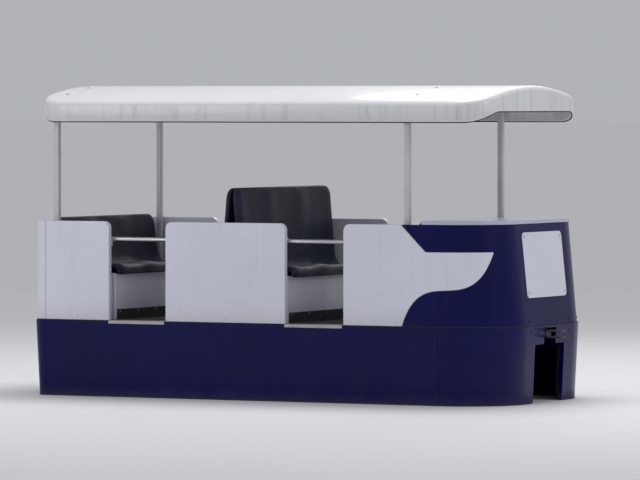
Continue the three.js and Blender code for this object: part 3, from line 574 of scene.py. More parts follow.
def rubber(name, colour, dust_share):
    """Black rubber: dull, finely pitted, dusty in patches."""
    surface = Finish(name)
    patches = surface.noise(18, 5).between(0.4, 0.75)
    pits = surface.noise(260, 3)
    tone = surface.mixed(patches * dust_share, colour, (0.15, 0.135, 0.12))
    tone = surface.mixed(pits.between(0.55, 0.8) * 0.3, tone, (0.05, 0.048, 0.045))
    surface.bump(pits, 0.0004, 0.5)
    return surface.done(tone, roughness=0.72 + patches * 0.18)


def plain_cast(name, colour, shade, roughness, depth=0.0005):
    """A cast or moulded small part: mottled, with a fine rough skin."""
    cast = Finish(name)
    mottle = cast.noise(35, 5)
    tone = cast.mixed(mottle.between(0.35, 0.7), colour, shade)
    tone = cast.mixed(cast.facing_up() * mottle * 0.4, tone, DUST)
    cast.bump(cast.noise(190, 4), depth, 0.5)
    return cast.done(tone, roughness=roughness + mottle * 0.15)


# The white walls' lavender cast, and their tone a little below the canopy's white, are painted shade: the
# cool skylit shade under the canopy, put into their own colour.
WHITE = gelcoat("white_gelcoat", (0.70, 0.71, 0.81), (0.66, 0.67, 0.77), 0.14, 0.30, 0.25)
BLUE = gelcoat("blue_gelcoat", (0.0010, 0.0012, 0.070), (0.0008, 0.0010, 0.052), -0.37, -0.28, 0.08, 0.12)
PALE = gelcoat("pale_gelcoat", (0.47, 0.50, 0.62), (0.42, 0.45, 0.57), 0.10, 0.12, 0.15)
CANOPY = canopy_gelcoat()
SEAT = seat_plastic()
FLOOR = floor_rubber()
POST = enamel("post_enamel", (0.56, 0.57, 0.60), (0.50, 0.51, 0.54))
CHASSIS = chassis_enamel()
MOTOR = enamel("motor_enamel", (0.060, 0.085, 0.105), (0.045, 0.065, 0.085))
RIM = enamel("rim_enamel", (0.30, 0.31, 0.33), (0.24, 0.25, 0.27))
BAR = bare_metal("brushed_bar", (0.60, 0.60, 0.61), 0.26, "x", 0.10)
ALUMINIUM = bare_metal("tread_aluminium", (0.46, 0.46, 0.47), 0.38, "x", 0.10)
ZINC = bare_metal("zinc_fastener", (0.56, 0.56, 0.53), 0.34, "z")
AXLE = bare_metal("axle_steel", (0.34, 0.33, 0.32), 0.38, "y", 0.45)
TYRE = rubber("tyre_rubber", (0.016, 0.016, 0.017), 0.45)
TRIM = rubber("trim_rubber", (0.012, 0.012, 0.013), 0.25)
GRAPHITE = plain_cast("graphite", (0.035, 0.035, 0.038), (0.060, 0.060, 0.062), 0.42)
INSULATOR = plain_cast("insulator_resin", (0.20, 0.045, 0.022), (0.15, 0.035, 0.018), 0.35)


# Mesh tools. A skin is rows of points joined into faces.
def skin(rows, ring=True, loop=False, caps=False):
    """A mesh over rows of points: each row closes on itself if ring, the rows close if loop."""
    bm = bmesh.new()
    grid = [[bm.verts.new(point) for point in row] for row in rows]
    count = len(grid[0])
    for first, second in zip(grid, grid[1:] + ([grid[0]] if loop else [])):
        for i in range(count if ring else count - 1):
            j = (i + 1) % count
            bm.faces.new((first[i], first[j], second[j], second[i]))
    if caps:
        bm.faces.new(grid[0])
        bm.faces.new(grid[-1])
    return closed_mesh(bm)


def closed_mesh(bm, merge=1e-6):
    """A mesh from bm, its doubles merged and its faces out."""
    bmesh.ops.remove_doubles(bm, verts=bm.verts, dist=merge)
    bmesh.ops.recalc_face_normals(bm, faces=bm.faces)
    mesh = bpy.data.meshes.new("shape")
    bm.to_mesh(mesh)
    bm.free()
    return mesh


def merged(meshes):
    """Several meshes in one."""
    bm = bmesh.new()
    for mesh in meshes:
        bm.from_mesh(mesh)
    mesh = bpy.data.meshes.new("shape")
    bm.to_mesh(mesh)
    bm.free()
    return mesh


def mirrored(mesh):
    """The same mesh on the other side of the car's middle plane."""
    bm = bmesh.new()
    bm.from_mesh(mesh)
    for vertex in bm.verts:
        vertex.co.y = -vertex.co.y
    bmesh.ops.reverse_faces(bm, faces=bm.faces)
    other = bpy.data.meshes.new("shape")
    bm.to_mesh(other)
    bm.free()
    return other


def block(low, high):
    """A plain box between two corners, for its edges to be rounded later."""
    (x0, y0, z0), (x1, y1, z1) = low, high
    outline = [(x0, y0), (x1, y0), (x1, y1), (x0, y1)]
    return skin([[(x, y, z) for x, y in outline] for z in (z0, z1)], caps=True)


def prism(outline, axis, start, end):
    """An outline of pairs, pushed along x, y or z."""
    turn = {
        "x": lambda a, b, c: (c, a, b),
        "y": lambda a, b, c: (a, c, b),
        "z": lambda a, b, c: (a, b, c),
    }[axis]
    return skin([[turn(a, b, c) for a, b in outline] for c in (start, end)], caps=True)


def turned(outline, centre, axis, segments=48, closed=False):
    """An outline of (radius, place along the axis) pairs, spun round an axis through centre."""
    rows = []
    for i in range(segments):
        angle = math.tau * i / segments
        row = []
        for radius, along in outline:
            a, b = radius * math.cos(angle), radius * math.sin(angle)
            offset = {"x": (along, a, b), "y": (a, along, b), "z": (a, b, along)}[axis]
            row.append(Vector(centre) + Vector(offset))
        rows.append(row)
    return skin(rows, ring=closed, loop=True)


def tube(points, radius, sides=12, closed=False):
    """A round tube along points."""
    points = [Vector(p) for p in points]
    rows = []
    side = None
    for i, point in enumerate(points):
        after = points[(i + 1) % len(points)] if closed else points[min(i + 1, len(points) - 1)]
        before = points[i - 1] if closed or i else points[0]
        ahead = (after - before).normalized()
        if side is None:
            side = ahead.orthogonal().normalized()
        side = (side - ahead * side.dot(ahead)).normalized()
        other = ahead.cross(side)
        turns = [math.tau * k / sides for k in range(sides)]
        rows.append([point + radius * (math.cos(t) * side + math.sin(t) * other) for t in turns])
    return skin(rows, loop=closed, caps=not closed)


def arc(centre, radius, start, end, steps):
    """Points of an arc, from one angle to another in degrees."""
    angles = [math.radians(start + (end - start) * i / steps) for i in range(steps + 1)]
    return [(centre[0] + radius * math.cos(a), centre[1] + radius * math.sin(a)) for a in angles]


def rounded_box(half_width, half_height, radius, steps=4):
    """Outline of a rectangle with round corners about the middle."""
    corners = ((1, 1, 0), (-1, 1, 90), (-1, -1, 180), (1, -1, 270))
    outline = []
    for a, b, start in corners:
        centre = (a * (half_width - radius), b * (half_height - radius))
        outline += arc(centre, radius, start, start + 90, steps)
    return outline


def smooth_route(points, steps):
    """A centripetal spline through points, with steps pieces between each two."""
    points = [Vector(p) for p in points]
    points = [2 * points[0] - points[1], *points, 2 * points[-1] - points[-2]]
    route = []
    for a, b, c, d in zip(points, points[1:], points[2:], points[3:]):
        knots = [0.0]
        for first, second in ((a, b), (b, c), (c, d)):
            knots.append(knots[-1] + math.sqrt((second - first).length))
        for i in range(steps):
            t = knots[1] + (knots[2] - knots[1]) * i / steps
            layer = [a, b, c, d]
            for spans in (((0, 1), (1, 2), (2, 3)), ((0, 2), (1, 3)), ((1, 2),)):
                layer = [
                    p + (q - p) * ((t - knots[start]) / (knots[end] - knots[start]))
                    for (start, end), p, q in zip(spans, layer, layer[1:])
                ]
            route.append(layer[0])
    return [*route, points[-2]]


def link(name, mesh):
    piece = bpy.data.objects.new(name, mesh)
    bpy.context.scene.collection.objects.link(piece)
    return piece


def settle(piece):
    """Turns what the modifiers make into the piece's own mesh."""
    graph = bpy.context.evaluated_depsgraph_get()
    mesh = bpy.data.meshes.new_from_object(piece.evaluated_get(graph))
    piece.modifiers.clear()
    piece.data = mesh


def mark_edges(mesh):
    """Notes which faces round an edge, and gives every face the first material again."""
    marks = mesh.attributes.new("edge", "FLOAT", "FACE")
    for face in mesh.polygons:
        marks.data[face.index].value = float(face.material_index)
        face.material_index = 0


def piece(name, mesh, body, material, slot, replaces=(), bevel=0.0, segments=2, smooth=35):
    """Makes a mesh a piece of the car: rounded, smoothed, painted and riding on its body."""
    made = link(name, mesh)
    mesh.materials.clear()
    mesh.materials.append(material)
    if bevel:
        mesh.materials.append(material)
        rounding = made.modifiers.new("edges", "BEVEL")
        rounding.width = bevel
        rounding.segments = segments
        rounding.limit_method = "ANGLE"
        rounding.angle_limit = math.radians(smooth)
        rounding.use_clamp_overlap = False
        rounding.material = 1
        settle(made)
        mark_edges(made.data)
    made.data.shade_smooth()
    made.data.set_sharp_from_angle(angle=math.radians(smooth))
    if bevel:
        made.modifiers.new("normals", "WEIGHTED_NORMAL").keep_sharp = True
        settle(made)
    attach(made, body)
    if replaces:
        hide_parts(*replaces)
    return made


def refined(node, body, material, slot, bevel=0.0025):
    """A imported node's own shape with its edges rounded, in its place."""
    bm = bmesh.new()
    bm.from_mesh(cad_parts[node].data)
    bmesh.ops.remove_doubles(bm, verts=bm.verts, dist=1e-5)
    flat = math.radians(0.5)
    bmesh.ops.dissolve_limit(bm, angle_limit=flat, verts=bm.verts, edges=bm.edges)
    mesh = bpy.data.meshes.new("shape")
    bm.to_mesh(mesh)
    bm.free()
    return piece(node + "_finished", mesh, body, material, slot, [node], bevel)


def copies_tree():
    """Geometry nodes: a copy of the template at every point, facing its way, turned at random."""
    group = bpy.data.node_groups.new("copies", "GeometryNodeTree")
    sockets = (
        ("Points", "NodeSocketGeometry"),
        ("Template", "NodeSocketObject"),
        ("Size", "NodeSocketFloat"),
        ("Turn", "NodeSocketFloat"),
        ("Seed", "NodeSocketInt"),
        ("Material", "NodeSocketMaterial"),
    )
    for name, kind in sockets:
        group.interface.new_socket(name, in_out="INPUT", socket_type=kind)
    group.interface.new_socket("Copies", in_out="OUTPUT", socket_type="NodeSocketGeometry")
    tree = Tree(group)
    entry = group.nodes.new("NodeGroupInput").outputs
    inputs = {name: Field(tree, entry[name]) for name, _ in sockets}
    template = tree.node(
        "GeometryNodeObjectInfo", sockets={"Object": inputs["Template"]}, output="Geometry"
    )
    facing = tree.node(
        "GeometryNodeInputNamedAttribute", {"data_type": "FLOAT_VECTOR"}, {"Name": "facing"}
    )
    settings = {"data_type": "FLOAT"}
    sockets = {"Min_001": 0.0, "Max_001": inputs["Turn"], "Seed": inputs["Seed"]}
    turn = tree.node("FunctionNodeRandomValue", settings, sockets, "Value_001")
    twist = tree.node("FunctionNodeAxisAngleToRotation", sockets={"Axis": (0, 0, 1), "Angle": turn})
    aligned = tree.node(
        "FunctionNodeAlignRotationToVector", {"axis": "Z"}, {"Rotation": twist, "Vector": facing}
    )
    placed = tree.node(
        "GeometryNodeInstanceOnPoints",
        sockets={
            "Points": inputs["Points"],
            "Instance": template,
            "Rotation": aligned,
            "Scale": inputs["Size"],
        },
    )
    real = tree.node("GeometryNodeRealizeInstances", sockets={"Geometry": placed})
    painted = tree.node(
        "GeometryNodeSetMaterial", sockets={"Geometry": real, "Material": inputs["Material"]}
    )
    exit_node = group.nodes.new("NodeGroupOutput")
    tree.feed(exit_node.inputs["Copies"], painted)
    return group


COPIES = copies_tree()
COPY_SMOOTH = 35


def copies(name, template, places, body, material, size=1.0, turn=0.0, seed=1):
    """A copy of a template mesh at each place, a (point, facing) pair, all in one piece."""
    points = bpy.data.meshes.new("points")
    points.from_pydata([tuple(p) for p, _ in places], [], [])
    facing = points.attributes.new("facing", "FLOAT_VECTOR", "POINT")
    for i, (_, way) in enumerate(places):
        facing.data[i].vector = Vector(way).normalized()
    made = link(name, points)
    pattern = link("template", template)
    maker = made.modifiers.new("copies", "NODES")
    maker.node_group = COPIES
    values = {"Template": pattern, "Size": size, "Turn": turn, "Seed": seed, "Material": material}
    for item in COPIES.interface.items_tree:
        if item.in_out == "INPUT" and item.name in values:
            maker[item.identifier] = values[item.name]
    settle(made)
    bpy.data.objects.remove(pattern)
    made.data.shade_smooth()
    made.data.set_sharp_from_angle(angle=math.radians(COPY_SMOOTH))
    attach(made, body)
    return made


# Templates of small parts, each standing on z = 0 and facing up.
def dome_screw(radius):
    """A domed screw head on a thin washer."""
    rise = [(radius * 1.35, 0), (radius * 1.35, radius * 0.16), (radius, radius * 0.2)]
    dome = [(r * radius, (0.2 + h) * radius) for r, h in arc((0, 0), 1, 20, 90, 4)]
    dome = [(r, 0.2 * radius + (h - 0.2 * radius) * 0.55) for r, h in dome]
    return turned([(0, 0), *rise, *dome[:-1], (0, dome[-1][1])], (0, 0, 0), "z", 14)


def hex_bolt(radius):
    """A hexagon head on a washer, with the bolt's end standing out of it."""
    washer = turned(
        [(0, 0), (radius * 1.45, 0), (radius * 1.45, radius * 0.2), (0, radius * 0.2)], (0, 0, 0), "z", 18
    )
    rows = []
    for scale, height in ((1, 0.2), (1, 0.8), (0.9, 0.92)):
        ring = [math.radians(60 * k) for k in range(6)]
        r = radius * scale
        rows.append([(r * math.cos(a), r * math.sin(a), radius * height) for a in ring])
    head = skin(rows, caps=True)
    end = turned(
        [(0, 0), (radius * 0.5, 0), (radius * 0.5, radius * 1.15), (0, radius * 1.25)], (0, 0, 0), "z", 10
    )
    return merged([washer, head, end])


# Walls that wrap round an end of the car.
class Wrap:
    """The plan of a wall round one end of the car, changing evenly with height.

    A point on it is (u, z). u runs 0 to 1 along the left side, 1 to 2 round the left corner,
    2 to 4 across the end, 4 to 5 round the right corner and 5 to 6 along the right side.
    A level is (height, end x, half width, corner radius).
    """

    def __init__(self, start, low, high):
        self.start = start
        self.low = low
        self.high = high
        self.out = math.copysign(1, low[1] - start)

    def plan(self, z):
        share = (z - self.low[0]) / (self.high[0] - self.low[0])
        return [a + (b - a) * share for a, b in zip(self.low[1:], self.high[1:])]

    def place(self, u, z, inset=0.0):
        end, half, radius = self.plan(z)
        side = 1 if u <= 3 else -1
        u = min(u, 6 - u)
        corner = end - self.out * radius
        if u <= 1:
            return Vector((self.start + (corner - self.start) * u, side * (half - inset), z))
        if u <= 2:
            angle = (u - 1) * math.pi / 2
            x = corner + self.out * (radius - inset) * math.sin(angle)
            return Vector((x, side * (half - radius + (radius - inset) * math.cos(angle)), z))
        return Vector((end - self.out * inset, side * (half - radius) * (3 - u), z))

    def u_at_x(self, x, z):
        """u of a point on the left side, by how far along the car it is."""
        end, _, radius = self.plan(z)
        corner = end - self.out * radius
        past = (x - corner) * self.out
        if past <= 0:
            return (x - self.start) / (corner - self.start)
        return 1 + math.asin(min(1, past / radius)) / (math.pi / 2)

    def u_at_y(self, y, z):
        """u of a point across the end."""
        _, half, radius = self.plan(z)
        return 3 - y / (half - radius)

    def out_from(self, u, z):
        """The way out of the wall, level."""
        return (self.place(u, z) - self.place(u, z, 0.01)).normalized()

    def spot(self, u, z):
        """A place for a copy of a small part: the point and the way out of the wall."""
        return self.place(u, z), self.out_from(u, z)


def bent(wrap, outline, thickness):
    """A panel of a wrap: an outline of (u, z) points, bent round the plan, with its thickness."""
    bm = bmesh.new()
    face = bm.faces.new([bm.verts.new((u, z, 0)) for u, z in outline])
    made = bmesh.ops.extrude_face_region(bm, geom=[face])["geom"]
    for vertex in (v for v in made if isinstance(v, bmesh.types.BMVert)):
        vertex.co.z = thickness
    shares = [k / CORNER_STEPS for k in range(CORNER_STEPS + 1)]
    for cut in [1 + s for s in shares] + [4 + s for s in shares]:
        everything = [*bm.verts, *bm.edges, *bm.faces]
        bmesh.ops.bisect_plane(
            bm, geom=everything, plane_co=(cut, 0, 0), plane_no=(1, 0, 0), dist=1e-4
        )
    for vertex in bm.verts:
        vertex.co = wrap.place(*vertex.co)
    return closed_mesh(bm, 1e-5)


apron_half = (SKIRT_HALF_WIDTH - SKIRT_LEAN, SKIRT_HALF_WIDTH)
FRONT_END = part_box("front_apron")[1].x
REAR_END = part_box("rear_apron")[0].x
APRONS = {
    "front_apron": Wrap(
        FRONT_WRAP,
        (SKIRT_BOTTOM, FRONT_END - SKIRT_LEAN, apron_half[0], FRONT_CORNER - SKIRT_LEAN),
        (SILL, FRONT_END, apron_half[1], FRONT_CORNER),
    ),
    "rear_apron": Wrap(
        REAR_WRAP,
        (SKIRT_BOTTOM, REAR_END + SKIRT_LEAN, apron_half[0], REAR_CORNER - SKIRT_LEAN),
        (SILL, REAR_END, apron_half[1], REAR_CORNER),
    ),
}
PANEL_INSET = FRONT_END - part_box("front_wall")[1].x
FRONT_WALL = Wrap(
    FRONT_WRAP,
    (PANEL_FOOT, FRONT_END - PANEL_INSET, PANEL_HALF_WIDTH, FRONT_CORNER - PANEL_INSET),
    (PANEL_TOP, FRONT_END - PANEL_INSET, PANEL_HALF_WIDTH, FRONT_CORNER - PANEL_INSET),
)
REAR_PANEL_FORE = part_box("rear_panel_left")[1].x
REAR_WALL = Wrap(
    REAR_PANEL_FORE,
    (PANEL_FOOT, REAR_FACE_LOW, PANEL_HALF_WIDTH, REAR_CORNER - PANEL_INSET),
    (PANEL_TOP, REAR_FACE_HIGH, PANEL_HALF_WIDTH, REAR_CORNER_AT_TOP),
)


def archway_outline(wrap):
    """An apron's outline: its foot, the archway with the coupler's notch, and the sill."""
    steps = (
        (TUNNEL_HALF_WIDTH, SKIRT_BOTTOM),
        (TUNNEL_HALF_WIDTH, TUNNEL_TOP),
        (COUPLER_NOTCH_HALF_WIDTH, TUNNEL_TOP),
        (COUPLER_NOTCH_HALF_WIDTH, COUPLER_NOTCH_TOP),
    )
    left = [(wrap.u_at_y(y, z), z) for y, z in steps]
    right = [(6 - u, z) for u, z in reversed(left)]
    return [(0, SKIRT_BOTTOM), *left, *right, (6, SKIRT_BOTTOM), (6, SILL), (0, SILL)]


def make_skirts():
    """The deep blue lower body: two flat sides and an apron round each end."""
    lean = SKIRT_HALF_WIDTH - SKIRT_LEAN
    outline = [
        (SKIRT_HALF_WIDTH, SILL),
        (lean, SKIRT_BOTTOM),
        (lean - SKIRT_THICKNESS, SKIRT_BOTTOM),
        (SKIRT_HALF_WIDTH - SKIRT_THICKNESS, SILL),
    ]
    low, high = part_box("skirt_left")
    side = prism(outline, "x", low.x, high.x)
    for name, mesh in (("left", side), ("right", mirrored(side))):
        node = "skirt_" + name
        piece(node + "_shell", mesh, BODY, BLUE, "blue_panel", [node], *SKIRT_EDGE)
    for node, wrap in APRONS.items():
        mesh = bent(wrap, archway_outline(wrap), SKIRT_THICKNESS)
        piece(node + "_shell", mesh, BODY, BLUE, "blue_panel", [node], *SKIRT_EDGE)


def panel_outline(fore, aft, fore_round=True):
    """A side panel seen from the side, its upper corners round where the car is open."""
    r = PANEL_CORNER
    front = arc((fore - r, PANEL_TOP - r), r, 0, 90, 8) if fore_round else [(fore, PANEL_TOP)]
    rear = arc((aft + r, PANEL_TOP - r), r, 90, 180, 8)
    return [(aft, PANEL_FOOT), (fore, PANEL_FOOT), *front, *rear]


def sweep_curve(shift, top):
    """The double curve between the white rear panel and the blue fairing, from the sill to top."""
    start = Vector((SWEEP_LOW_X, PANEL_FOOT))
    end = Vector((SWEEP_HIGH_X, BAND_LOW))
    first, second = (Vector(control) for control in SWEEP_CONTROLS)
    points = []
    for i in range(40):
        t = i / 40
        lower = (1 - t) ** 3 * start + 3 * t * (1 - t) ** 2 * first
        x, z = lower + 3 * t * t * (1 - t) * second + t**3 * end
        points.append((x + shift, z))
    return [*points, (end.x + shift, top)]


def rear_panel_outline():
    """The white rear panel in (x, z): its round top corner, the band above and the swept edge."""
    low = BAND_LOW - SEAM
    r = PANEL_CORNER
    fore = REAR_PANEL_FORE
    band = [(BAND_FORE + SEAM, PANEL_TOP), (BAND_FORE + SEAM - (PANEL_TOP - low), low)]
    sweep = sweep_curve(SEAM, low)
    corner = arc((fore - r, PANEL_TOP - r), r, 0, 90, 8)
    return [(fore, PANEL_FOOT), *corner, *band, *reversed(sweep)]


def fairing_outline():
    """The left half of the blue fairing in (x, z), from its foot up the sweep to its top band."""
    sweep = sweep_curve(0.0, BAND_LOW)
    band = [(BAND_FORE - (PANEL_TOP - BAND_LOW), BAND_LOW), (BAND_FORE, PANEL_TOP)]
    return [*sweep, *band]


def make_walls():
    """The white walls on the sill and the blue fairing round the rear."""
    inner = PANEL_HALF_WIDTH - PANEL_THICKNESS
    low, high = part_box("front_panel_left")
    front = panel_outline(high.x, low.x, fore_round=False)
    low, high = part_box("middle_panel_left")
    middle = panel_outline(high.x, low.x)
    sides = {
        "front_panel": prism(front, "y", inner, PANEL_HALF_WIDTH),
        "middle_panel": prism(middle, "y", inner, PANEL_HALF_WIDTH),
        "rear_panel": bent(
            REAR_WALL, [(REAR_WALL.u_at_x(x, z), z) for x, z in rear_panel_outline()], PANEL_THICKNESS
        ),
    }
    for name, mesh in sides.items():
        for side, shape in (("left", mesh), ("right", mirrored(mesh))):
            node = name + "_" + side
            piece(node + "_shell", shape, BODY, WHITE, "white_panel", [node], *WALL_EDGE)
    across = [(0, PANEL_FOOT), (6, PANEL_FOOT), (6, PANEL_TOP), (0, PANEL_TOP)]
    wall = bent(FRONT_WALL, across, PANEL_THICKNESS)
    piece("front_wall_shell", wall, BODY, WHITE, "white_panel", ["front_wall"], *WALL_EDGE)
    left = [(REAR_WALL.u_at_x(x, z), z) for x, z in fairing_outline()]
    right = [(6 - u, z) for u, z in reversed(left)]
    fairing = bent(REAR_WALL, [*left, *right], PANEL_THICKNESS)
    piece("rear_fairing_shell", fairing, BODY, BLUE, "blue_panel", ["rear_fairing"], *SKIRT_EDGE)
    refined("rear_deck", BODY, PALE, "deck_panel", 0.006)


def make_rear_plate():
    """A blank white plate on the raked rear face, with a screw in each corner."""
    middle = (PLATE_LOW + PLATE_HIGH) / 2
    outline = rounded_box(PLATE_HALF_WIDTH, (PLATE_HIGH - PLATE_LOW) / 2, PLATE_CORNER, 6)
    rows = []
    for proud in (0.0005, PLATE_THICKNESS):
        points = [REAR_WALL.place(3, middle + z) for y, z in outline]
        rows.append([(p.x - proud, y, p.z) for (y, _), p in zip(outline, points)])
    piece("rear_plate", skin(rows, caps=True), BODY, WHITE, "white_panel", bevel=0.002)
    way = REAR_WALL.out_from(3, middle)
    places = []
    for side in (-1, 1):
        for z in (PLATE_LOW + PLATE_SCREW_INSET, PLATE_HIGH - PLATE_SCREW_INSET):
            point = REAR_WALL.place(3, z) + way * PLATE_THICKNESS
            places.append(((point.x, side * (PLATE_HALF_WIDTH - PLATE_SCREW_INSET), z), way))
    copies("rear_plate_screws", dome_screw(0.007), places, BODY, ZINC, seed=3, turn=6.0)


def canopy_plan(inset):
    """The canopy's plan moved inwards: round corners and straight sides, as (x, y) points."""
    radius = CANOPY_CORNER - inset
    fore, aft = CANOPY_HIGH.x - CANOPY_CORNER, CANOPY_LOW.x + CANOPY_CORNER
    side = CANOPY_HIGH.y - CANOPY_CORNER
    corners = ((fore, side, 0), (aft, side, 90), (aft, -side, 180), (fore, -side, 270))
    points = []
    for i, (x, y, start) in enumerate(corners):
        leg = arc((x, y), radius, start, start + 90, 10)
        x2, y2, after = corners[(i + 1) % 4]
        turn = math.radians(after)
        end = (x2 + radius * math.cos(turn), y2 + radius * math.sin(turn))
        steps = CANOPY_LONG_STEPS if i % 2 == 0 else CANOPY_CROSS_STEPS
        last = leg[-1]
        between = [
            (last[0] + (end[0] - last[0]) * k / steps, last[1] + (end[1] - last[1]) * k / steps)
            for k in range(1, steps)
        ]
        points += leg + between
    return points


def arch_height(y, below=0.0):
    """Height of the canopy's arch at a place across the car."""
    return CANOPY_HIGH.z - below - (ARCH_RADIUS - math.sqrt(ARCH_RADIUS**2 - y * y))


def canopy_edge(y):
    """Height of the canopy's lower edge, which lifts smoothly round the ends."""
    share = min(1, (CANOPY_HIGH.y - abs(y)) / CANOPY_CORNER)
    return CANOPY_LOW.z + CANOPY_EDGE_LIFT * share * share * (3 - 2 * share)


def canopy_middle(below):
    """The rows of points inside the round corners, over the whole length."""
    fore, aft = CANOPY_HIGH.x - CANOPY_CORNER, CANOPY_LOW.x + CANOPY_CORNER
    side = CANOPY_HIGH.y - CANOPY_CORNER
    rows = []
    for i in range(CANOPY_LONG_STEPS + 1):
        x = fore + (aft - fore) * i / CANOPY_LONG_STEPS
        across = [side - 2 * side * k / CANOPY_CROSS_STEPS for k in range(CANOPY_CROSS_STEPS + 1)]
        rows.append([(x, y, arch_height(y, below)) for y in across])
    return skin(rows, ring=False)


def canopy_shape():
    """The arched shell: its underside out to the wall, the round lip, and back over the crown."""
    wall = CANOPY_WALL
    lip = wall / 2
    insets = [CANOPY_CORNER - (CANOPY_CORNER - CANOPY_RIM) * k / 8 for k in range(9)]
    rows = [[(x, y, arch_height(y, wall)) for x, y in canopy_plan(inset)] for inset in insets]
    rows.append([(x, y, arch_height(y, wall + 0.02)) for x, y in canopy_plan(wall + 0.003)])
    for x_share, z_share in arc((0, 0), 1, 180, 360, 8):
        plan = zip(canopy_plan(lip - lip * x_share), canopy_plan(0))
        rows.append([(x, y, canopy_edge(own) + lip * (1 + z_share)) for (x, y), (_, own) in plan])
    shoulder = CANOPY_SHOULDER
    for inset, rise in arc((1, 0), 1, 180, 90, 7):
        plan = canopy_plan(inset * shoulder)
        rows.append([(x, y, arch_height(y) - shoulder * (1 - rise)) for x, y in plan])
    for inset in reversed(insets[:-1]):
        rows.append([(x, y, arch_height(y)) for x, y in canopy_plan(inset)])
    bm = bmesh.new()
    for mesh in (skin(rows), canopy_middle(wall), canopy_middle(0)):
        bm.from_mesh(mesh)
    return closed_mesh(bm, 1e-5)


def make_canopy():
    """The white arched roof shell with its turned-down edge, its bead, ribs and bolts."""
    piece("canopy_shell", canopy_shape(), BODY, CANOPY, "canopy_shell", ["canopy"], smooth=40)
    plan = zip(canopy_plan(CANOPY_WALL / 2), canopy_plan(0))
    bead = [(x, y, canopy_edge(own) - 0.0015) for (x, y), (_, own) in plan]
    piece("canopy_bead", tube(bead, BEAD_RADIUS, 10, closed=True), BODY, TRIM, "canopy_shell")
    ribs = [canopy_rib((x, x), (-RIB_REACH, RIB_REACH)) for x in RIBS_ACROSS]
    ribs += [canopy_rib(RIB_ENDS, (y, y)) for y in RIBS_ALONG]
    piece("canopy_ribs", merged(ribs), BODY, CANOPY, "canopy_shell", smooth=40)
    places = []
    for x in ROOF_FRAMES.values():
        for y in CANOPY_BOLTS:
            places.append(((x, y, arch_height(y)), (0, y / ARCH_RADIUS, 1)))
    copies("canopy_bolts", dome_screw(0.009), places, BODY, ZINC, turn=6.0)


def canopy_rib(xs, ys):
    """A raised rib bonded under the shell, across it or along it."""
    along = xs[0] != xs[1]
    steps = 40
    rows = []
    for i in range(steps + 1):
        share = i / steps
        x = xs[0] + (xs[1] - xs[0]) * share
        y = ys[0] + (ys[1] - ys[0]) * share
        fade = min(1, 10 * share, 10 * (1 - share)) ** 0.5
        row = []
        for a, height in RIB_SECTION:
            place = (x, y + a) if along else (x + a, y)
            faded = height * fade if height < 0 else height
            row.append((*place, arch_height(place[1], CANOPY_WALL) + faded))
        rows.append(row)
    return skin(rows, caps=True)


def frame_path():
    """Centre line of a roof frame across the car: up a post, round the bend and over."""
    crown = CANOPY_HIGH.z - CANOPY_WALL - FRAME_CLEARANCE - TUBE / 2
    bend_y = POST_Y - FRAME_BEND
    reach = ARCH_RADIUS - FRAME_BEND
    bend_z = crown - ARCH_RADIUS + math.sqrt(reach**2 - bend_y**2)
    tilt = math.degrees(math.asin(bend_y / reach))
    corner = arc((bend_y, bend_z), FRAME_BEND, 0, 90 - tilt, 10)
    last = corner[-1][0]
    places = [last * k / 10 for k in range(9, -1, -1)]
    across = [(y, arch_height(y, CANOPY_HIGH.z - crown)) for y in places]
    half = [(POST_Y, SILL + GAP), *corner, *across]
    return half + [(-y, z) for y, z in reversed(half[:-1])]


def make_roof_frames():
    """The two painted frames of square tube that carry the canopy, bolted to the floor."""
    path = [Vector(p) for p in frame_path()]
    section = rounded_box(TUBE / 2, TUBE / 2, TUBE_CORNER, 4)
    for name, x in ROOF_FRAMES.items():
        rows = []
        for i, point in enumerate(path):
            ahead = (path[min(i + 1, len(path) - 1)] - path[max(i - 1, 0)]).normalized()
            side = Vector((ahead.y, -ahead.x))
            rows.append([(x + a, *(point + b * side)) for a, b in section])
        node = "roof_frame_" + name
        piece(node + "_tube", skin(rows, caps=True), BODY, POST, "frame_paint", [node])
        plates = []
        bolts = []
        for sign in (-1, 1):
            y = sign * (POST_Y - 0.002)
            foot = rounded_box(FOOT_HALF_LENGTH, FOOT_HALF_WIDTH, TUBE_CORNER, 3)
            outline = [(x + a, y + b) for a, b in foot]
            plates.append(prism(outline, "z", SILL + GAP, FOOT_TOP))
            bolts += [((x + a, y, FOOT_TOP), (0, 0, 1)) for a in (-FOOT_BOLT_X, FOOT_BOLT_X)]
        piece(node + "_feet", merged(plates), BODY, POST, "frame_paint", bevel=0.0012)
        copies(node + "_bolts", hex_bolt(0.0085), bolts, BODY, ZINC, turn=6.0)


def bench_route(lip, back, lean, top, facing):
    """The bench's middle line seen from the side, in (x, z): lip, pan, heel and leaning back."""
    half = BENCH_THICKNESS / 2
    pan = SEAT_BASE_TOP + half
    rise = top - half - pan
    return smooth_route(
        [
            (lip + facing * 0.002, pan - 0.028),
            (lip - facing * 0.006, pan + 0.014),
            (lip - facing * 0.045, pan + 0.026),
            ((lip * 3 + back) / 4, pan + 0.014),
            ((lip + back * 2) / 3, pan),
            (back + facing * 0.050, pan + 0.004),
            (back + facing * 0.006, pan + 0.050),
            (back - facing * lean * 0.22, pan + rise * 0.285),
            (back - facing * lean * 0.62, pan + rise * 0.64),
            (back - facing * lean, pan + rise),
        ],
        14,
    )


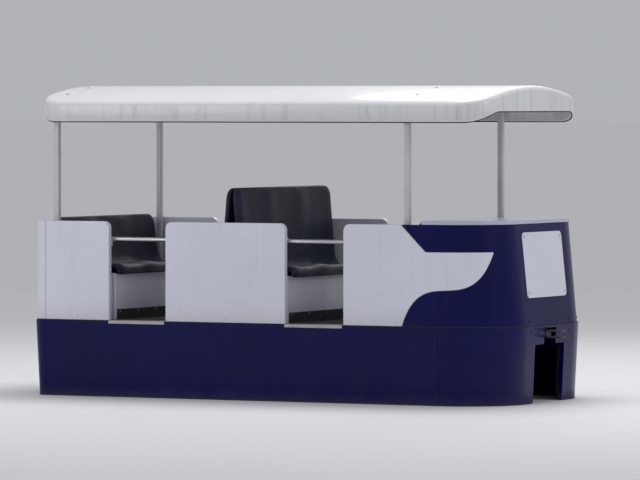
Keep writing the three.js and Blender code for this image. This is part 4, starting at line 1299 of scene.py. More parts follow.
class Sheet:
    """A bent sheet with round corners and a full round edge, laid along a route in (x, z)."""

    def __init__(self, route, half_width, half_thickness):
        self.route = route
        self.half_width = half_width
        self.half_thickness = half_thickness
        self.run = [0.0]
        for first, second in zip(route, route[1:]):
            self.run.append(self.run[-1] + (second - first).length)
        self.length = self.run[-1]

    def at(self, v):
        """The middle line's point and direction at a distance along it."""
        v = min(max(v, 0.0), self.length)
        i = next((k for k in range(1, len(self.run)) if self.run[k] >= v), len(self.run) - 1)
        share = (v - self.run[i - 1]) / (self.run[i] - self.run[i - 1])
        point = self.route[i - 1].lerp(self.route[i], share)
        before, after = self.route[max(i - 2, 0)], self.route[min(i + 1, len(self.route) - 1)]
        return point, (after - before).normalized()

    def corner(self, v):
        """Radius of the corner at the end that v lies nearer to, and the distance from that end."""
        return (LIP_CORNER, v) if v < self.length / 2 else (BACK_CORNER, self.length - v)

    def width(self, v):
        radius, end = self.corner(v)
        short = max(0.0, radius - end)
        return self.half_width - radius + math.sqrt(radius * radius - short * short)

    def from_edge(self, y, v):
        """Distance of a point from the sheet's round-cornered outline."""
        radius, end = self.corner(v)
        side = self.half_width - abs(y)
        if side < radius and end < radius:
            return max(0.0, radius - math.hypot(radius - side, radius - end))
        return min(side, end)

    def edge_share(self, y, v):
        """0 at the outline and 1 where the sheet has its whole thickness, on a quarter round."""
        away = min(1.0, self.from_edge(y, v) / self.half_thickness)
        return math.sqrt(1 - (1 - away) ** 2)


def round_edge(radius):
    """Distances in from an edge, close together where it is a quarter round."""
    return [radius * (1 - math.cos(math.pi / 2 * k / 6)) for k in range(7)]


def bench_runs(length, half):
    """Distances along a bench where it has points, from its lip to the head of its back."""
    lip = round_edge(half) + [half + (LIP_CORNER - half) * k / 5 for k in range(1, 6)]
    back = round_edge(half) + [half + (BACK_CORNER - half) * k / 8 for k in range(1, 9)]
    between = length - lip[-1] - back[-1]
    middle = [lip[-1] + between * k / BENCH_STEPS for k in range(1, BENCH_STEPS)]
    return lip + middle + [length - end for end in reversed(back)]


def bench_places(width, half):
    """The y of each point across a bench, where it is so wide to either side."""
    rim = round_edge(half)
    steps = SEATS_ACROSS * SEAT_STEPS
    flat = [(2 * k / steps - 1) * (width - half) for k in range(1, steps)]
    return [-width + r for r in rim] + flat + [width - r for r in reversed(rim)]


def seat_ridge(y, from_edge):
    """Height of the low ridges between the seats, which fade out towards the bench's outline."""
    phase = (y + SEAT_WIDTH * SEATS_ACROSS / 2) / SEAT_WIDTH
    ridge = SEAT_RIDGE * ((1 + math.cos(math.tau * phase)) / 2) ** 2
    inward = min(1, from_edge / RIDGE_FADE)
    return ridge * inward * inward * (3 - 2 * inward)


def bench_shell(node, lip, back, lean, top, facing):
    """One bench: a bent sheet with three hollows between low ridges on its upper face."""
    half = BENCH_THICKNESS / 2
    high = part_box(node)[1]
    sheet = Sheet(bench_route(lip, back, lean, top, facing), high.y, half)
    runs = bench_runs(sheet.length, half)
    points = []
    ways = []
    for v in runs:
        point, ahead = sheet.at(v)
        points.append(point)
        ways.append(Vector((ahead.y, -ahead.x)) * facing)
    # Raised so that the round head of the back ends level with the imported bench's.
    lift = high.z - max(p.y + abs(w.y) * half * 0.2 for p, w in zip(points, ways))
    uppers = []
    lowers = []
    for v, point, way in zip(runs, points, ways):
        upper = []
        lower = []
        for y in bench_places(sheet.width(v), half):
            thick = sheet.edge_share(y, v)
            above = point + way * (half * thick + seat_ridge(y, sheet.from_edge(y, v)))
            below = point - way * half * thick
            upper.append((above.x, y, above.y + lift))
            lower.append((below.x, y, below.y + lift))
        uppers.append(upper)
        lowers.insert(0, lower)
    return skin(list(zip(*uppers, *lowers)))


def make_benches():
    """Four moulded benches: the middle two back to back, each with an end one facing it."""
    for name, sizes in BENCHES.items():
        node = "bench_" + name
        piece(node + "_shell", bench_shell(node, *sizes), BODY, SEAT, "seat_shell", [node], smooth=60)


def make_seat_bases():
    """White moulded boxes under the benches, with kick strips along the foot wells."""
    for name in ("front", "middle", "rear"):
        refined("seat_base_" + name, BODY, WHITE, "white_panel", 0.007)
    faces = (
        (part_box("seat_base_front")[0].x, -1),
        (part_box("seat_base_middle")[1].x, 1),
        (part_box("seat_base_middle")[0].x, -1),
        (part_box("seat_base_rear")[1].x, 1),
    )
    strips = []
    screws = []
    for x, way in faces:
        aft, fore = sorted((x + way * GAP, x + way * KICK_THICKNESS))
        strips.append(block((aft, -KICK_HALF_WIDTH, KICK_LOW), (fore, KICK_HALF_WIDTH, KICK_HIGH)))
        for k in range(KICK_SCREWS):
            y = -KICK_SCREW_Y + KICK_SCREW_PITCH * k
            screws.append(((x + way * KICK_THICKNESS, y, KICK_SCREW_Z), (way, 0, 0)))
    piece("kick_strips", merged(strips), BODY, TRIM, "floor_covering", bevel=0.0009)
    copies("kick_strip_screws", dome_screw(0.005), screws, BODY, ZINC, turn=6.0)


def make_floor():
    """The floor plate, and its ribbed covering in the foot wells."""
    refined("floor", BODY, FLOOR, "floor_covering", 0.002)
    outline = [(-0.0032, 0), (0.0032, 0), (0.0018, 0.0024), (-0.0018, 0.0024)]
    rib = prism(outline, "y", -FLOOR_RIB_REACH, FLOOR_RIB_REACH)
    places = []
    for aft, fore in FOOT_WELLS.values():
        for k in range(int((fore - aft) / FLOOR_RIB_PITCH)):
            places.append(((aft + FLOOR_RIB_PITCH * (k + 0.5), 0, SILL), (0, 0, 1)))
    copies("floor_ribs", rib, places, BODY, FLOOR)


def make_nosings():
    """The ribbed aluminium angle over the sill in each entrance, screwed down."""
    low, top = SILL - NOSING_DROP, NOSING_TOP
    section = [(NOSING_INNER, SILL + GAP), (NOSING_FACE, SILL + GAP), (NOSING_FACE, low)]
    section += [(NOSING_OUTER, low), (NOSING_OUTER, top)]
    for k in range(NOSING_RIBS):
        y = NOSING_RIB_Y - NOSING_RIB_PITCH * k
        for inwards, rise in ((0, 0), (0.0015, 0.0018), (0.0060, 0.0018), (0.0075, 0)):
            section.append((y - inwards, top + rise))
    section.append((NOSING_INNER, top))
    nosings = []
    screws = []
    for aft, fore in ENTRANCES.values():
        plate = prism(section, "x", aft, fore)
        nosings += [plate, mirrored(plate)]
        for k in range(4):
            x = aft + 0.03 + (fore - aft - 0.06) * k / 3
            screws += [((x, s * NOSING_SCREW_Y, top + 0.0002), (0, 0, 1)) for s in (-1, 1)]
    piece("entrance_nosings", merged(nosings), BODY, ALUMINIUM, "bar_steel")
    copies("nosing_screws", dome_screw(0.0045), screws, BODY, ZINC, turn=6.0)


def bar_tube(pivot, tip, y):
    """A safety bar, from the eye on its pivot to its round tip."""
    way = math.copysign(1, tip - pivot)
    length = abs(tip - pivot) - BAR_RADIUS
    outline = [(0, 0), (BAR_RADIUS, 0)]
    for r, h in arc((0, 0), BAR_RADIUS, 0, 90, 5):
        outline.append((r, way * (length + h - BAR_ROOT)))
    bar = turned(outline, (pivot + way * BAR_ROOT, y, BAR_Z), "x", 28)
    wide = BAR_EYE_HALF_WIDTH
    half = [(BAR_EYE_RADIUS, wide - 0.002), (BAR_EYE_RADIUS - 0.002, wide)]
    half.append((BAR_PIN_RADIUS + 0.001, wide))
    eye = [(r, -h) for r, h in reversed(half)] + half
    return merged([bar, turned(eye, (pivot, y, BAR_Z), "y", 36, closed=True)])


def catch_blocks(catch_at, sign):
    """The plate, shelf and lip that a bar's tip rests on."""
    blocks = []
    for near, far, low, high, half_length in CATCH_BLOCKS:
        right, left = sorted((sign * near, sign * far))
        blocks.append(block((catch_at - half_length, right, low), (catch_at + half_length, left, high)))
    return blocks


def make_bars():
    """A brushed bar across each entrance, on its pin and its catch."""
    pins = []
    catches = []
    screws = []
    for name, (pivot, tip, catch_at) in BARS.items():
        for side, sign in (("left", 1), ("right", -1)):
            node = "safety_bar_" + name + "_" + side
            y = sign * BAR_Y
            piece(node + "_tube", bar_tube(pivot, tip, y), node, BAR, "bar_steel", [node], smooth=30)
            pin = [(r, sign * h) for r, h in BAR_PIN]
            pins.append(turned(pin, (pivot, y, BAR_Z), "y", 28))
            catches += catch_blocks(catch_at, sign)
            for z in CATCH_SCREWS_Z:
                screws.append(((catch_at, sign * CATCH_BLOCKS[0][0], z), (0, -sign, 0)))
    piece("bar_pins", merged(pins), BODY, BAR, "bar_steel", smooth=30)
    piece("bar_catches", merged(catches), BODY, BAR, "bar_steel", bevel=0.0012)
    copies("bar_catch_screws", dome_screw(0.0045), screws, BODY, ZINC, turn=6.0)


def make_wall_screws():
    """Rows of domed screws: along the foot of the white walls and the head of the skirts."""
    places = []
    for sign in (-1, 1):
        for fore, aft in WALL_SCREW_ROWS:
            count = round((fore - aft) / WALL_SCREW_PITCH)
            for k in range(count + 1):
                x = fore + (aft - fore) * k / count
                places.append(((x, sign * PANEL_HALF_WIDTH, WALL_SCREW_Z), (0, sign, 0)))
    for y in (-0.5, -0.25, 0, 0.25, 0.5):
        places.append(FRONT_WALL.spot(FRONT_WALL.u_at_y(y, WALL_SCREW_Z), WALL_SCREW_Z))
    copies("wall_screws", dome_screw(0.006), places, BODY, WHITE, turn=6.0)
    around = (1.25, 1.5, 1.75, 2.1, 3, 3.9, 4.25, 4.5, 4.75)
    places = [REAR_WALL.spot(u, WALL_SCREW_Z) for u in around]
    lean = SKIRT_LEAN * (SILL - SKIRT_SCREW_Z) / (SILL - SKIRT_BOTTOM)
    for sign in (-1, 1):
        for k in range(SKIRT_SCREWS):
            x = REAR_WRAP + 0.05 + (FRONT_WRAP - REAR_WRAP - 0.10) * k / (SKIRT_SCREWS - 1)
            places.append(((x, sign * (SKIRT_HALF_WIDTH - lean), SKIRT_SCREW_Z), (0, sign, 0)))
    for node, wrap in APRONS.items():
        for u in (1.3, 1.65, 2.15, 2.45):
            for turn in (u, 6 - u):
                if node == "front_apron" and u < 2:
                    continue
                places.append(wrap.spot(turn, SKIRT_SCREW_Z))
    copies("skirt_screws", dome_screw(0.006), places, BODY, BLUE, turn=6.0)


def make_skirt_edging():
    """Black edging under the skirts and aprons, as far as the archways."""
    low = SKIRT_BOTTOM + 0.0040
    middle = SKIRT_THICKNESS / 2
    side_y = SKIRT_HALF_WIDTH - SKIRT_LEAN - middle
    section = rounded_box(middle + 0.002, 0.0045, 0.003, 3)
    edges = []
    for sign in (-1, 1):
        outline = [(sign * side_y + a, low + b) for a, b in section]
        edges.append(prism(outline, "x", REAR_WRAP + 0.001, FRONT_WRAP - 0.001))
    for wrap in APRONS.values():
        stop = wrap.u_at_y(TUNNEL_HALF_WIDTH + 0.004, SKIRT_BOTTOM)
        for sign in (-1, 1):
            rows = []
            for k in range(41):
                u = 0.004 + (stop - 0.004) * k / 40
                row = []
                for a, b in section:
                    at = wrap.place(u, SKIRT_BOTTOM, middle + a)
                    row.append((at.x, sign * at.y, low + b))
                rows.append(row)
            edges.append(skin(rows, caps=True))
    piece("skirt_edging", merged(edges), BODY, TRIM, "floor_covering", smooth=40)


def make_sill_beads():
    """A black bead where the walls stand on the sill, left out in the entrances."""
    beads = []
    middle_low, middle_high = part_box("middle_panel_left")
    front = (FRONT_WRAP + 0.005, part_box("front_panel_left")[0].x + SEAM)
    middle = (middle_high.x - SEAM, middle_low.x + SEAM)
    for sign in (-1, 1):
        for run in (front, middle):
            points = [(x, sign * PANEL_HALF_WIDTH, SILL_BEAD_Z) for x in run]
            beads.append(tube(points, SILL_BEAD_RADIUS, 8))
    for wrap in (FRONT_WALL, REAR_WALL):
        points = [wrap.place(6 * k / 150, PANEL_FOOT) for k in range(151)]
        beads.append(tube([(p.x, p.y, SILL_BEAD_Z) for p in points], SILL_BEAD_RADIUS, 8))
    piece("sill_beads", merged(beads), BODY, TRIM, "floor_covering", smooth=60)


def ring_of(count, radius, centre, axis, way=1, start=0.0):
    """Places on a circle about an axis through centre, all facing along it."""
    places = []
    for k in range(count):
        angle = start + math.tau * k / count
        a, b = radius * math.cos(angle), radius * math.sin(angle)
        offset = {"x": (0, a, b), "y": (a, 0, b), "z": (a, b, 0)}[axis]
        facing = tuple(way if letter == axis else 0 for letter in "xyz")
        places.append((Vector(centre) + Vector(offset), facing))
    return places


def box_beam(start, end, half_width, half_height, z):
    """A rectangular tube with round corners, level, from one (x, y) to another, with its welds."""
    start, end = Vector(start), Vector(end)
    ahead = (end - start).normalized()
    side = Vector((-ahead.y, ahead.x))
    section = rounded_box(half_width, half_height, BEAM_CORNER, 4)
    rows = []
    for point in (start, end):
        rows.append([(*(point + side * a), z + b) for a, b in section])
    beads = []
    for point in (start + ahead * 0.001, end - ahead * 0.001):
        ring = [(*(point + side * a), z + b) for a, b in section]
        beads.append(tube(ring, WELD_RADIUS, 6, closed=True))
    return [skin(rows, caps=True), *beads]


def make_underframe():
    """The dark chassis of welded tube: two rails and the cross members."""
    rail_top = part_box("underframe")[1].z
    half_height = (rail_top - RAIL_LOW) / 2
    level = RAIL_LOW + half_height
    reach = FRONT_END - RAIL_SETBACK, REAR_END + RAIL_SETBACK
    parts = []
    for side in (-1, 1):
        ends = [(x, side * RAIL_Y) for x in reach]
        parts += box_beam(*ends, RAIL_HALF_WIDTH, half_height, level)
    for x, out in CROSS_MEMBERS.items():
        inner, outer = RAIL_Y - RAIL_HALF_WIDTH, RAIL_Y + RAIL_HALF_WIDTH
        for near, far in ((-inner, inner), (outer, out), (-out, -outer)):
            parts += box_beam((x, near), (x, far), CROSS_HALF_WIDTH, half_height, level)
    piece("underframe_tubes", merged(parts), BODY, CHASSIS, "chassis_paint", ["underframe"], smooth=40)


def make_bolsters():
    """The bridges over the trucks, with a bolted foot and a gusset at each corner."""
    rail_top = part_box("underframe")[1].z
    feet = []
    bolts = []
    for name, x in TRUCKS.items():
        refined("bolster_" + name, BODY, CHASSIS, "chassis_paint")
        for way in (-1, 1):
            for side in (-1, 1):
                middle = side * RAIL_Y
                near, far = sorted((x + way * 0.061, x + way * 0.104))
                low, high = rail_top + 0.0005, rail_top + 0.007
                feet.append(block((near, middle - 0.022, low), (far, middle + 0.022, high)))
                gusset = [
                    (x + way * 0.0605, high),
                    (x + way * 0.095, high),
                    (x + way * 0.0605, 0.190),
                ]
                feet.append(prism(gusset, "y", middle - 0.003, middle + 0.003))
                for y in (-0.012, 0.012):
                    bolts.append(((x + way * 0.086, middle + y, high), (0, 0, 1)))
    piece("bolster_feet", merged(feet), BODY, CHASSIS, "chassis_paint", bevel=0.001)
    copies("bolster_bolts", hex_bolt(0.0062), bolts, BODY, ZINC, turn=6.0)


def make_couplers():
    """The front clevis with its drawbar and pin, and the jaw behind."""
    inner = COUPLER_Z + CLEVIS_INNER
    outer = inner + CLEVIS_PLATE
    plates = []
    for low, high in ((inner, outer), (2 * COUPLER_Z - outer, 2 * COUPLER_Z - inner)):
        front = DRAWBAR_PIVOT + 0.020
        nose = arc((front - 0.022, 0), 0.022, -55, 55, 12)
        outline = [(CLEVIS_ROOT, -CLEVIS_HALF_WIDTH), *nose, (CLEVIS_ROOT, CLEVIS_HALF_WIDTH)]
        plates.append(prism(outline, "z", low, high))
        plates.append(jaw_plate(low, high))
    web = block(
        (-JAW_WEB, -CLEVIS_HALF_WIDTH, 2 * COUPLER_Z - outer), (-CLEVIS_ROOT, CLEVIS_HALF_WIDTH, outer)
    )
    piece("coupler_plates", merged([*plates, web]), BODY, CHASSIS, "chassis_paint", bevel=0.0015)
    pin = [(0, COUPLER_Z - 0.034), (0.0095, COUPLER_Z - 0.034), (0.0095, outer), (0.0165, outer)]
    pin += [(0.0170, outer + 0.0008), (0.0170, outer + 0.006)]
    pin += [(0.0155, outer + 0.008), (0, outer + 0.008)]
    shape = turned(pin, (DRAWBAR_PIVOT, 0, 0), "z", 28)
    piece("drawbar_pin", shape, BODY, AXLE, "bar_steel", smooth=30)
    refined("front_drawbar", "drawbar", AXLE, "chassis_paint")


def jaw_plate(low, high):
    """One plate of the rear jaw, with the hole for the coupling pin."""
    end = -COUPLING_PIN - 0.025
    corner = 0.018
    half = CLEVIS_HALF_WIDTH
    outer = [(-CLEVIS_ROOT, half)] + arc((end + corner, half - corner), corner, 90, 180, 6)
    outer += arc((end + corner, corner - half), corner, 180, 270, 6) + [(-CLEVIS_ROOT, -half)]
    hole = arc((-COUPLING_PIN, 0), 0.011, 0, 360, 24)[:-1]
    bm = bmesh.new()
    loops = []
    for outline in (outer, hole):
        corners = [bm.verts.new((x, y, low)) for x, y in outline]
        loops += [bm.edges.new((a, b)) for a, b in zip(corners, corners[1:] + corners[:1])]
    bmesh.ops.triangle_fill(bm, edges=loops, use_beauty=True)
    made = bmesh.ops.extrude_face_region(bm, geom=bm.faces[:])["geom"]
    for vertex in (v for v in made if isinstance(v, bmesh.types.BMVert)):
        vertex.co.z = high
    return closed_mesh(bm)


def make_trucks():
    """The two trucks: welded frame, axle bearings, centre pin and spindle nuts."""
    for name, x in TRUCKS.items():
        body = "truck_" + name
        refined("truck_frame_" + name, body, CHASSIS, "chassis_paint")
        bearings = []
        bolts = []
        flange = [
            (0, 0), (0.058, 0), (0.060, 0.002), (0.060, 0.008), (0.058, 0.010), (0.044, 0.010),
            (0.041, 0.022), (0.036, 0.026), (0, 0.026),
        ]
        for side in (-1, 1):
            face = side * (SIDE_PLATE_OUTER + GAP)
            outline = [(r, side * h) for r, h in flange]
            bearings.append(turned(outline, (x, face, LOAD_RADIUS), "y", 40))
            centre = (x, face + side * 0.010, LOAD_RADIUS)
            bolts += ring_of(6, 0.051, centre, "y", side, math.pi / 6)
            for way in (-1, 1):
                spot = (x + way * GUIDE_X, side * GUIDE_Y)
                bolts.append(((*spot, LEG_BOTTOM), (0, 0, -1)))
                bolts.append(((*spot, 2 * GUIDE_Z - LEG_BOTTOM), (0, 0, 1)))
        piece(body + "_bearings", merged(bearings), body, RIM, "wheel_steel", smooth=25)
        copies(body + "_bolts", hex_bolt(0.0062), bolts, body, ZINC, turn=6.0)
        nut = turned([(0, 0.4315), (0.034, 0.4315), (0.034, 0.4335), (0, 0.4335)], (x, 0, 0), "z", 40)
        flats = [math.radians(60 * k) for k in range(6)]
        hexagon = [(x + 0.030 * math.cos(a), 0.030 * math.sin(a)) for a in flats]
        crown = prism(hexagon, "z", 0.4334, 0.4462)
        piece(body + "_pin_nut", merged([nut, crown]), body, ZINC, "bar_steel", bevel=0.0012)


def make_load_wheels():
    """Each load axle with its bolted rims, and the solid tyres with two worn grooves."""
    for name, x in TRUCKS.items():
        body = "load_wheels_" + name
        centre = (x, 0, LOAD_RADIUS)
        rod = [
            (0, -AXLE_HALF_LENGTH), (AXLE_RADIUS - 0.003, -AXLE_HALF_LENGTH),
            (AXLE_RADIUS, 0.003 - AXLE_HALF_LENGTH), (AXLE_RADIUS, AXLE_HALF_LENGTH - 0.003),
            (AXLE_RADIUS - 0.003, AXLE_HALF_LENGTH), (0, AXLE_HALF_LENGTH),
        ]
        axle = turned(rod, centre, "y", 40)
        piece(body + "_axle", axle, body, AXLE, "wheel_steel", ["load_axle_" + name])
        rim = RIM_RADIUS - GAP
        section = [
            (AXLE_RADIUS + 0.0002, 0.031), (0.045, 0.031), (rim - 0.010, 0.0365), (rim, 0.037),
            (rim, 0.123), (rim - 0.003, 0.1245), (rim - 0.012, 0.1245), (rim - 0.015, 0.122),
            (0.079, 0.107), (0.074, 0.104), (0.052, 0.104), (0.050, 0.106),
            (0.046, 0.125), (0.043, 0.127), (AXLE_RADIUS + 0.0002, 0.127),
        ]
        rims = []
        tyres = []
        bolts = []
        tread = [(LOAD_RADIUS, 0.049), (LOAD_RADIUS, 0.064), (LOAD_RADIUS - 0.006, 0.0655)]
        tread += [(LOAD_RADIUS - 0.006, 0.0705), (LOAD_RADIUS, 0.072)]
        across = TYRE_INNER + TYRE_OUTER
        tread += [(r, across - y) for r, y in reversed(tread)]
        shoulder = arc((0, 0), 0.014, 180, 90, 6)
        wall = [(LOAD_RADIUS - 0.014 + b, TYRE_INNER + 0.014 + a) for a, b in shoulder]
        wall = [(RIM_RADIUS, TYRE_INNER + 0.004), (RIM_RADIUS + 0.006, TYRE_INNER), *wall]
        outline = wall + tread[1:-1] + [(r, across - y) for r, y in reversed(wall)]
        for side in (-1, 1):
            rims.append(turned([(r, side * y) for r, y in section], centre, "y", 64, closed=True))
            tyre = turned([(r, side * y) for r, y in outline], centre, "y", 72, closed=True)
            tyres.append((side, tyre))
            bolts += ring_of(5, 0.063, (x, side * 0.104, LOAD_RADIUS), "y", side)
        piece(body + "_rims", merged(rims), body, RIM, "wheel_steel", smooth=30)
        copies(body + "_bolts", hex_bolt(0.0068), bolts, body, ZINC, turn=6.0)
        for side, tyre in tyres:
            node = "load_tyre_%s_%s" % (name, "left" if side > 0 else "right")
            piece(node + "_rubber", tyre, body, TYRE, "tyre", [node], smooth=30)


def make_guide_wheels():
    """The eight upright guide wheels: a rubber tyre on a grey hub, held by five screws."""
    rubber_edge = GUIDE_HALF_WIDTH - 0.008
    for name, x in TRUCKS.items():
        for side, sign in (("left", 1), ("right", -1)):
            for place, ahead in (("lead", 1), ("trail", -1)):
                node = "guide_wheel_%s_%s_%s" % (name, side, place)
                centre = (x + ahead * GUIDE_X, sign * GUIDE_Y, GUIDE_Z)
                shoulder = arc((GUIDE_RADIUS - 0.010, rubber_edge - 0.010), 0.010, 0, 90, 5)
                half = [(GUIDE_RADIUS, 0.004), *shoulder, (0.076, rubber_edge)]
                outline = [(r, -h) for r, h in reversed(half)] + half
                tyre = turned(outline, centre, "z", 56, closed=True)
                piece(node + "_rubber", tyre, node, TYRE, "tyre", [node], smooth=30)
                half = [
                    (0.0755, rubber_edge - 0.002), (0.066, rubber_edge - 0.002),
                    (0.064, rubber_edge - 0.006),
                    (0.044, GUIDE_HALF_WIDTH - 0.020), (0.034, GUIDE_HALF_WIDTH - 0.020),
                    (0.031, GUIDE_HALF_WIDTH - 0.017), (0.028, GUIDE_HALF_WIDTH - 0.001),
                    (0.026, GUIDE_HALF_WIDTH), (0.0150, GUIDE_HALF_WIDTH),
                ]
                outline = [(r, -h) for r, h in reversed(half)] + half
                hub = turned(outline, centre, "z", 48, closed=True)
                piece(node + "_hub", hub, node, RIM, "wheel_steel", smooth=25)
                bolts = []
                for way in (-1, 1):
                    level = (centre[0], centre[1], centre[2] + way * (GUIDE_HALF_WIDTH - 0.0150))
                    bolts += ring_of(5, 0.0525, level, "z", way)
                copies(node + "_bolts", hex_bolt(0.0045), bolts, node, ZINC, turn=6.0)


def belt_outline(first, second, r1, r2):
    """Outline round two circles in one plane, with straight runs between them."""
    first, second = Vector(first), Vector(second)
    ahead = second - first
    turn = math.degrees(math.atan2(ahead.y, ahead.x))
    lean = math.degrees(math.asin((r2 - r1) / ahead.length))
    near = arc(first, r1, turn + 90 + lean, turn + 270 - lean, 18)
    far = arc(second, r2, turn - 90 - lean, turn + 90 + lean, 18)
    return near + far


def make_motor():
    """The motor: its finned barrel with a bell at one end and a cowl at the other, and its box."""
    outer, inner = MOTOR_FIN_RADIUS, MOTOR_BARREL_RADIUS
    outline = []
    for k in range(MOTOR_FINS):
        start = math.tau * k / MOTOR_FINS
        for share, r in ((0.0, outer), (0.26, outer), (0.36, inner), (0.90, inner)):
            angle = start + math.tau / MOTOR_FINS * share
            outline.append((MOTOR_X + r * math.cos(angle), MOTOR_Z + r * math.sin(angle)))
    barrel = prism(outline, "y", -0.092, 0.096)
    bell = [
        (0, 0.092), (0.104, 0.092), (0.105, 0.094), (0.105, 0.108), (0.102, 0.112), (0.085, 0.120),
        (0.050, 0.124), (0.048, 0.136), (0.044, 0.140), (0, 0.140),
    ]
    cowl = [
        (0, 0.090), (0.102, 0.090), (0.104, 0.093), (0.104, 0.130), (0.100, 0.137), (0.092, 0.140),
        (0.078, 0.140), (0.076, 0.136), (0.066, 0.136), (0.064, 0.140), (0.050, 0.140), (0.048, 0.136),
        (0.038, 0.136), (0.036, 0.140), (0, 0.140),
    ]
    centre = (MOTOR_X, 0, MOTOR_Z)
    ends = [turned(bell, centre, "y", 56), turned([(r, -y) for r, y in cowl], centre, "y", 56)]
    shape = merged([barrel, *ends])
    piece("drive_motor", shape, DRIVE_BODY, MOTOR, "motor_paint", ["drive_unit"], smooth=25)
    lid = [(MOTOR_X + a, b) for a, b in rounded_box(0.048, 0.040, 0.008, 4)]
    box = [(MOTOR_X + a, b) for a, b in rounded_box(0.044, 0.036, 0.006, 4)]
    boxes = [
        prism(box, "z", TERMINAL_BOX_LOW, TERMINAL_LID_LOW),
        prism(lid, "z", TERMINAL_LID_LOW, TERMINAL_LID_HIGH),
    ]
    piece("drive_terminal_box", merged(boxes), DRIVE_BODY, MOTOR, "motor_paint", bevel=0.0015)


def make_motor_foot():
    """The motor's foot on the truck's rear crossbeam: a plate and two webs."""
    aft = MOTOR_X - 0.012
    foot = [block((aft, -0.090, MOTOR_FOOT_LOW), (MOTOR_X + 0.105, 0.090, MOTOR_FOOT_HIGH))]
    web = [
        (aft + 0.004, MOTOR_FOOT_HIGH), (MOTOR_X + 0.100, MOTOR_FOOT_HIGH),
        (MOTOR_X + 0.088, MOTOR_Z - 0.040), (MOTOR_X + 0.050, MOTOR_Z - 0.085),
        (aft + 0.004, MOTOR_Z - 0.086),
    ]
    for y in (-0.070, 0.070):
        foot.append(prism(web, "y", y - 0.006, y + 0.006))
    piece("drive_foot", merged(foot), DRIVE_BODY, MOTOR, "motor_paint", bevel=0.0015)


def make_gear_case():
    """The flat case from the motor's shaft to the axle, and the flange round its middle."""
    axle = (TRUCKS["rear"], LOAD_RADIUS)
    shaft = (MOTOR_X, MOTOR_Z)
    case = prism(belt_outline(axle, shaft, 0.047, 0.060), "y", -0.026, 0.026)
    piece("drive_gear_case", case, DRIVE_BODY, MOTOR, "motor_paint", bevel=0.005, segments=3, smooth=50)
    rib = prism(belt_outline(axle, shaft, 0.054, 0.067), "y", -0.004, 0.004)
    piece("drive_gear_flange", rib, DRIVE_BODY, MOTOR, "motor_paint", bevel=0.0012, smooth=50)


def make_drive_bolts():
    """Bolts of the motor's foot and end bell, and screws in the lid of its box."""
    feet = [(MOTOR_X + a, y, MOTOR_FOOT_HIGH) for a in (0.012, 0.092) for y in (-0.042, 0.042)]
    bolts = [(foot, (0, 0, 1)) for foot in feet]
    bolts += ring_of(6, 0.074, (MOTOR_X, 0.1215, MOTOR_Z), "y", 1, 0.3)
    copies("drive_bolts", hex_bolt(0.0062), bolts, DRIVE_BODY, ZINC, turn=6.0)
    corners = [(MOTOR_X + a, b, TERMINAL_LID_HIGH) for a in (-0.038, 0.038) for b in (-0.030, 0.030)]
    screws = [(corner, (0, 0, 1)) for corner in corners]
    copies("drive_box_screws", dome_screw(0.004), screws, DRIVE_BODY, ZINC)


def make_collector():
    """The current collector on the rear truck: bent arm, ribbed insulators and its shoe."""
    body = "truck_rear"
    low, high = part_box("current_collector")
    x = TRUCKS["rear"]
    y_out = low.y
    arm = [
        (y_out + 0.004, high.z), (y_out + 0.004, -0.060), (-0.205, -0.060), (-0.205, -0.070),
        (y_out + 0.018, -0.070), (y_out + 0.018, high.z),
    ]
    strap = prism(arm, "x", x - 0.024, x + 0.024)
    plate = block((x - 0.030, y_out, -0.052), (x + 0.030, y_out + 0.0045, high.z))
    shape = merged([strap, plate])
    piece("collector_arm", shape, body, CHASSIS, "chassis_paint", ["current_collector"], 0.0012)
    sheds = [(0, 0.0)]
    for k in range(3):
        at = 0.0055 * k
        sheds += [(0.009, at), (0.015, at + 0.0022), (0.015, at + 0.0038), (0.009, at + 0.0055)]
    sheds.append((0, 0.0165))
    insulators = []
    for a in (-0.016, 0.016):
        insulators.append(turned([(r, -0.200 + h) for r, h in sheds], (x + a, 0, -0.065), "y", 24))
    piece("collector_insulators", merged(insulators), body, INSULATOR, "chassis_paint", smooth=25)
    carrier = block((x - 0.050, -0.1835, -0.080), (x + 0.050, -0.1775, -0.050))
    piece("collector_carrier", carrier, body, AXLE, "bar_steel", bevel=0.0012)
    shoe = rounded_box(0.070, 0.022, 0.010, 5)
    shape = prism([(x + a, b - 0.062) for a, b in shoe], "y", -0.1775, high.y)
    piece("collector_shoe", shape, body, GRAPHITE, "chassis_paint", bevel=0.003, segments=3)
    bolts = [((x + a, y_out, b), (0, -1, 0)) for a in (-0.018, 0.018) for b in (-0.006, -0.038)]
    copies("collector_bolts", hex_bolt(0.0050), bolts, body, ZINC, turn=6.0)


def make_studio_floor():
    """A wide pale floor at the car's lowest point."""
    disc = turned([(0, 0), (FLOOR_RADIUS, 0)], (0, 0, cad_box[0].z - 0.0012), "z", 96)
    floor = link("studio_floor", disc)
    ground = Finish("studio_floor", roughness=0.7)
    ground.surface["Specular IOR Level"].default_value = 0.2
    floor.data.materials.append(ground.done((0.80, 0.80, 0.81, 1.0)))


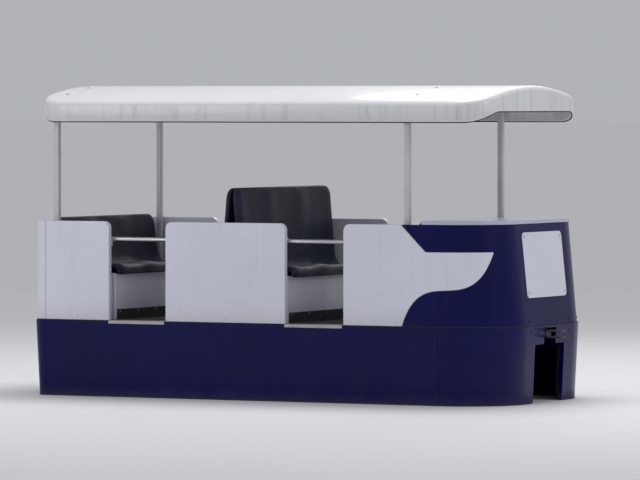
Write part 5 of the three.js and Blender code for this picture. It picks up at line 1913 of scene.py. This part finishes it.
def make_sky():
    """Soft light from all round, paler above than at the horizon."""
    world = bpy.data.worlds.new("studio")
    world.use_nodes = True
    sky = Tree(world.node_tree)
    rise = sky.node("ShaderNodeSeparateXYZ", sockets={0: sky.node("ShaderNodeTexCoord")}, output="Z")
    paler = {"Factor_Float": rise.between(0.0, 0.5), "A_Color": HORIZON, "B_Color": ZENITH}
    surface = world.node_tree.nodes["Background"].inputs
    sky.feed(surface["Color"], sky.node("ShaderNodeMix", {"data_type": "RGBA"}, paler, "Result_Color"))
    surface["Strength"].default_value = 0.58
    bpy.context.scene.world = world
    bpy.context.scene.view_settings.view_transform = "Standard"


def make_lamps():
    """Four large soft lamps, turned to the middle of the car."""
    for name, (at, size, power) in LAMPS.items():
        lamp = bpy.data.lights.new(name, "AREA")
        lamp.shape = "DISK"
        lamp.size = size
        lamp.energy = power
        holder = bpy.data.objects.new(name, lamp)
        bpy.context.scene.collection.objects.link(holder)
        holder.location = at
        holder.rotation_mode = "QUATERNION"
        holder.rotation_quaternion = (LAMP_AIM - Vector(at)).to_track_quat("-Z", "Y")


def make_camera():
    """A long lens a good way off, behind and to the left of the car and almost level with it."""
    camera = bpy.data.cameras.new("camera")
    camera.lens = CAMERA_LENS
    viewer = bpy.data.objects.new("camera", camera)
    bpy.context.scene.collection.objects.link(viewer)
    azimuth = math.radians(CAMERA_AZIMUTH)
    elevation = math.radians(CAMERA_ELEVATION)
    back = Vector((
        math.sin(azimuth) * math.cos(elevation),
        -math.cos(azimuth) * math.cos(elevation),
        math.sin(elevation),
    ))
    viewer.location = CAMERA_AIM + back * CAMERA_DISTANCE
    viewer.rotation_mode = "QUATERNION"
    viewer.rotation_quaternion = (-back).to_track_quat("-Z", "Y")
    bpy.context.scene.camera = viewer


make_skirts()
make_walls()
make_rear_plate()
make_skirt_edging()
make_sill_beads()
make_wall_screws()
make_canopy()
make_roof_frames()
make_benches()
make_seat_bases()
make_floor()
make_nosings()
make_bars()
make_underframe()
make_couplers()
make_bolsters()
make_trucks()
make_load_wheels()
make_guide_wheels()
make_motor()
make_motor_foot()
make_gear_case()
make_drive_bolts()
make_collector()
make_studio_floor()
make_sky()
make_lamps()
make_camera()
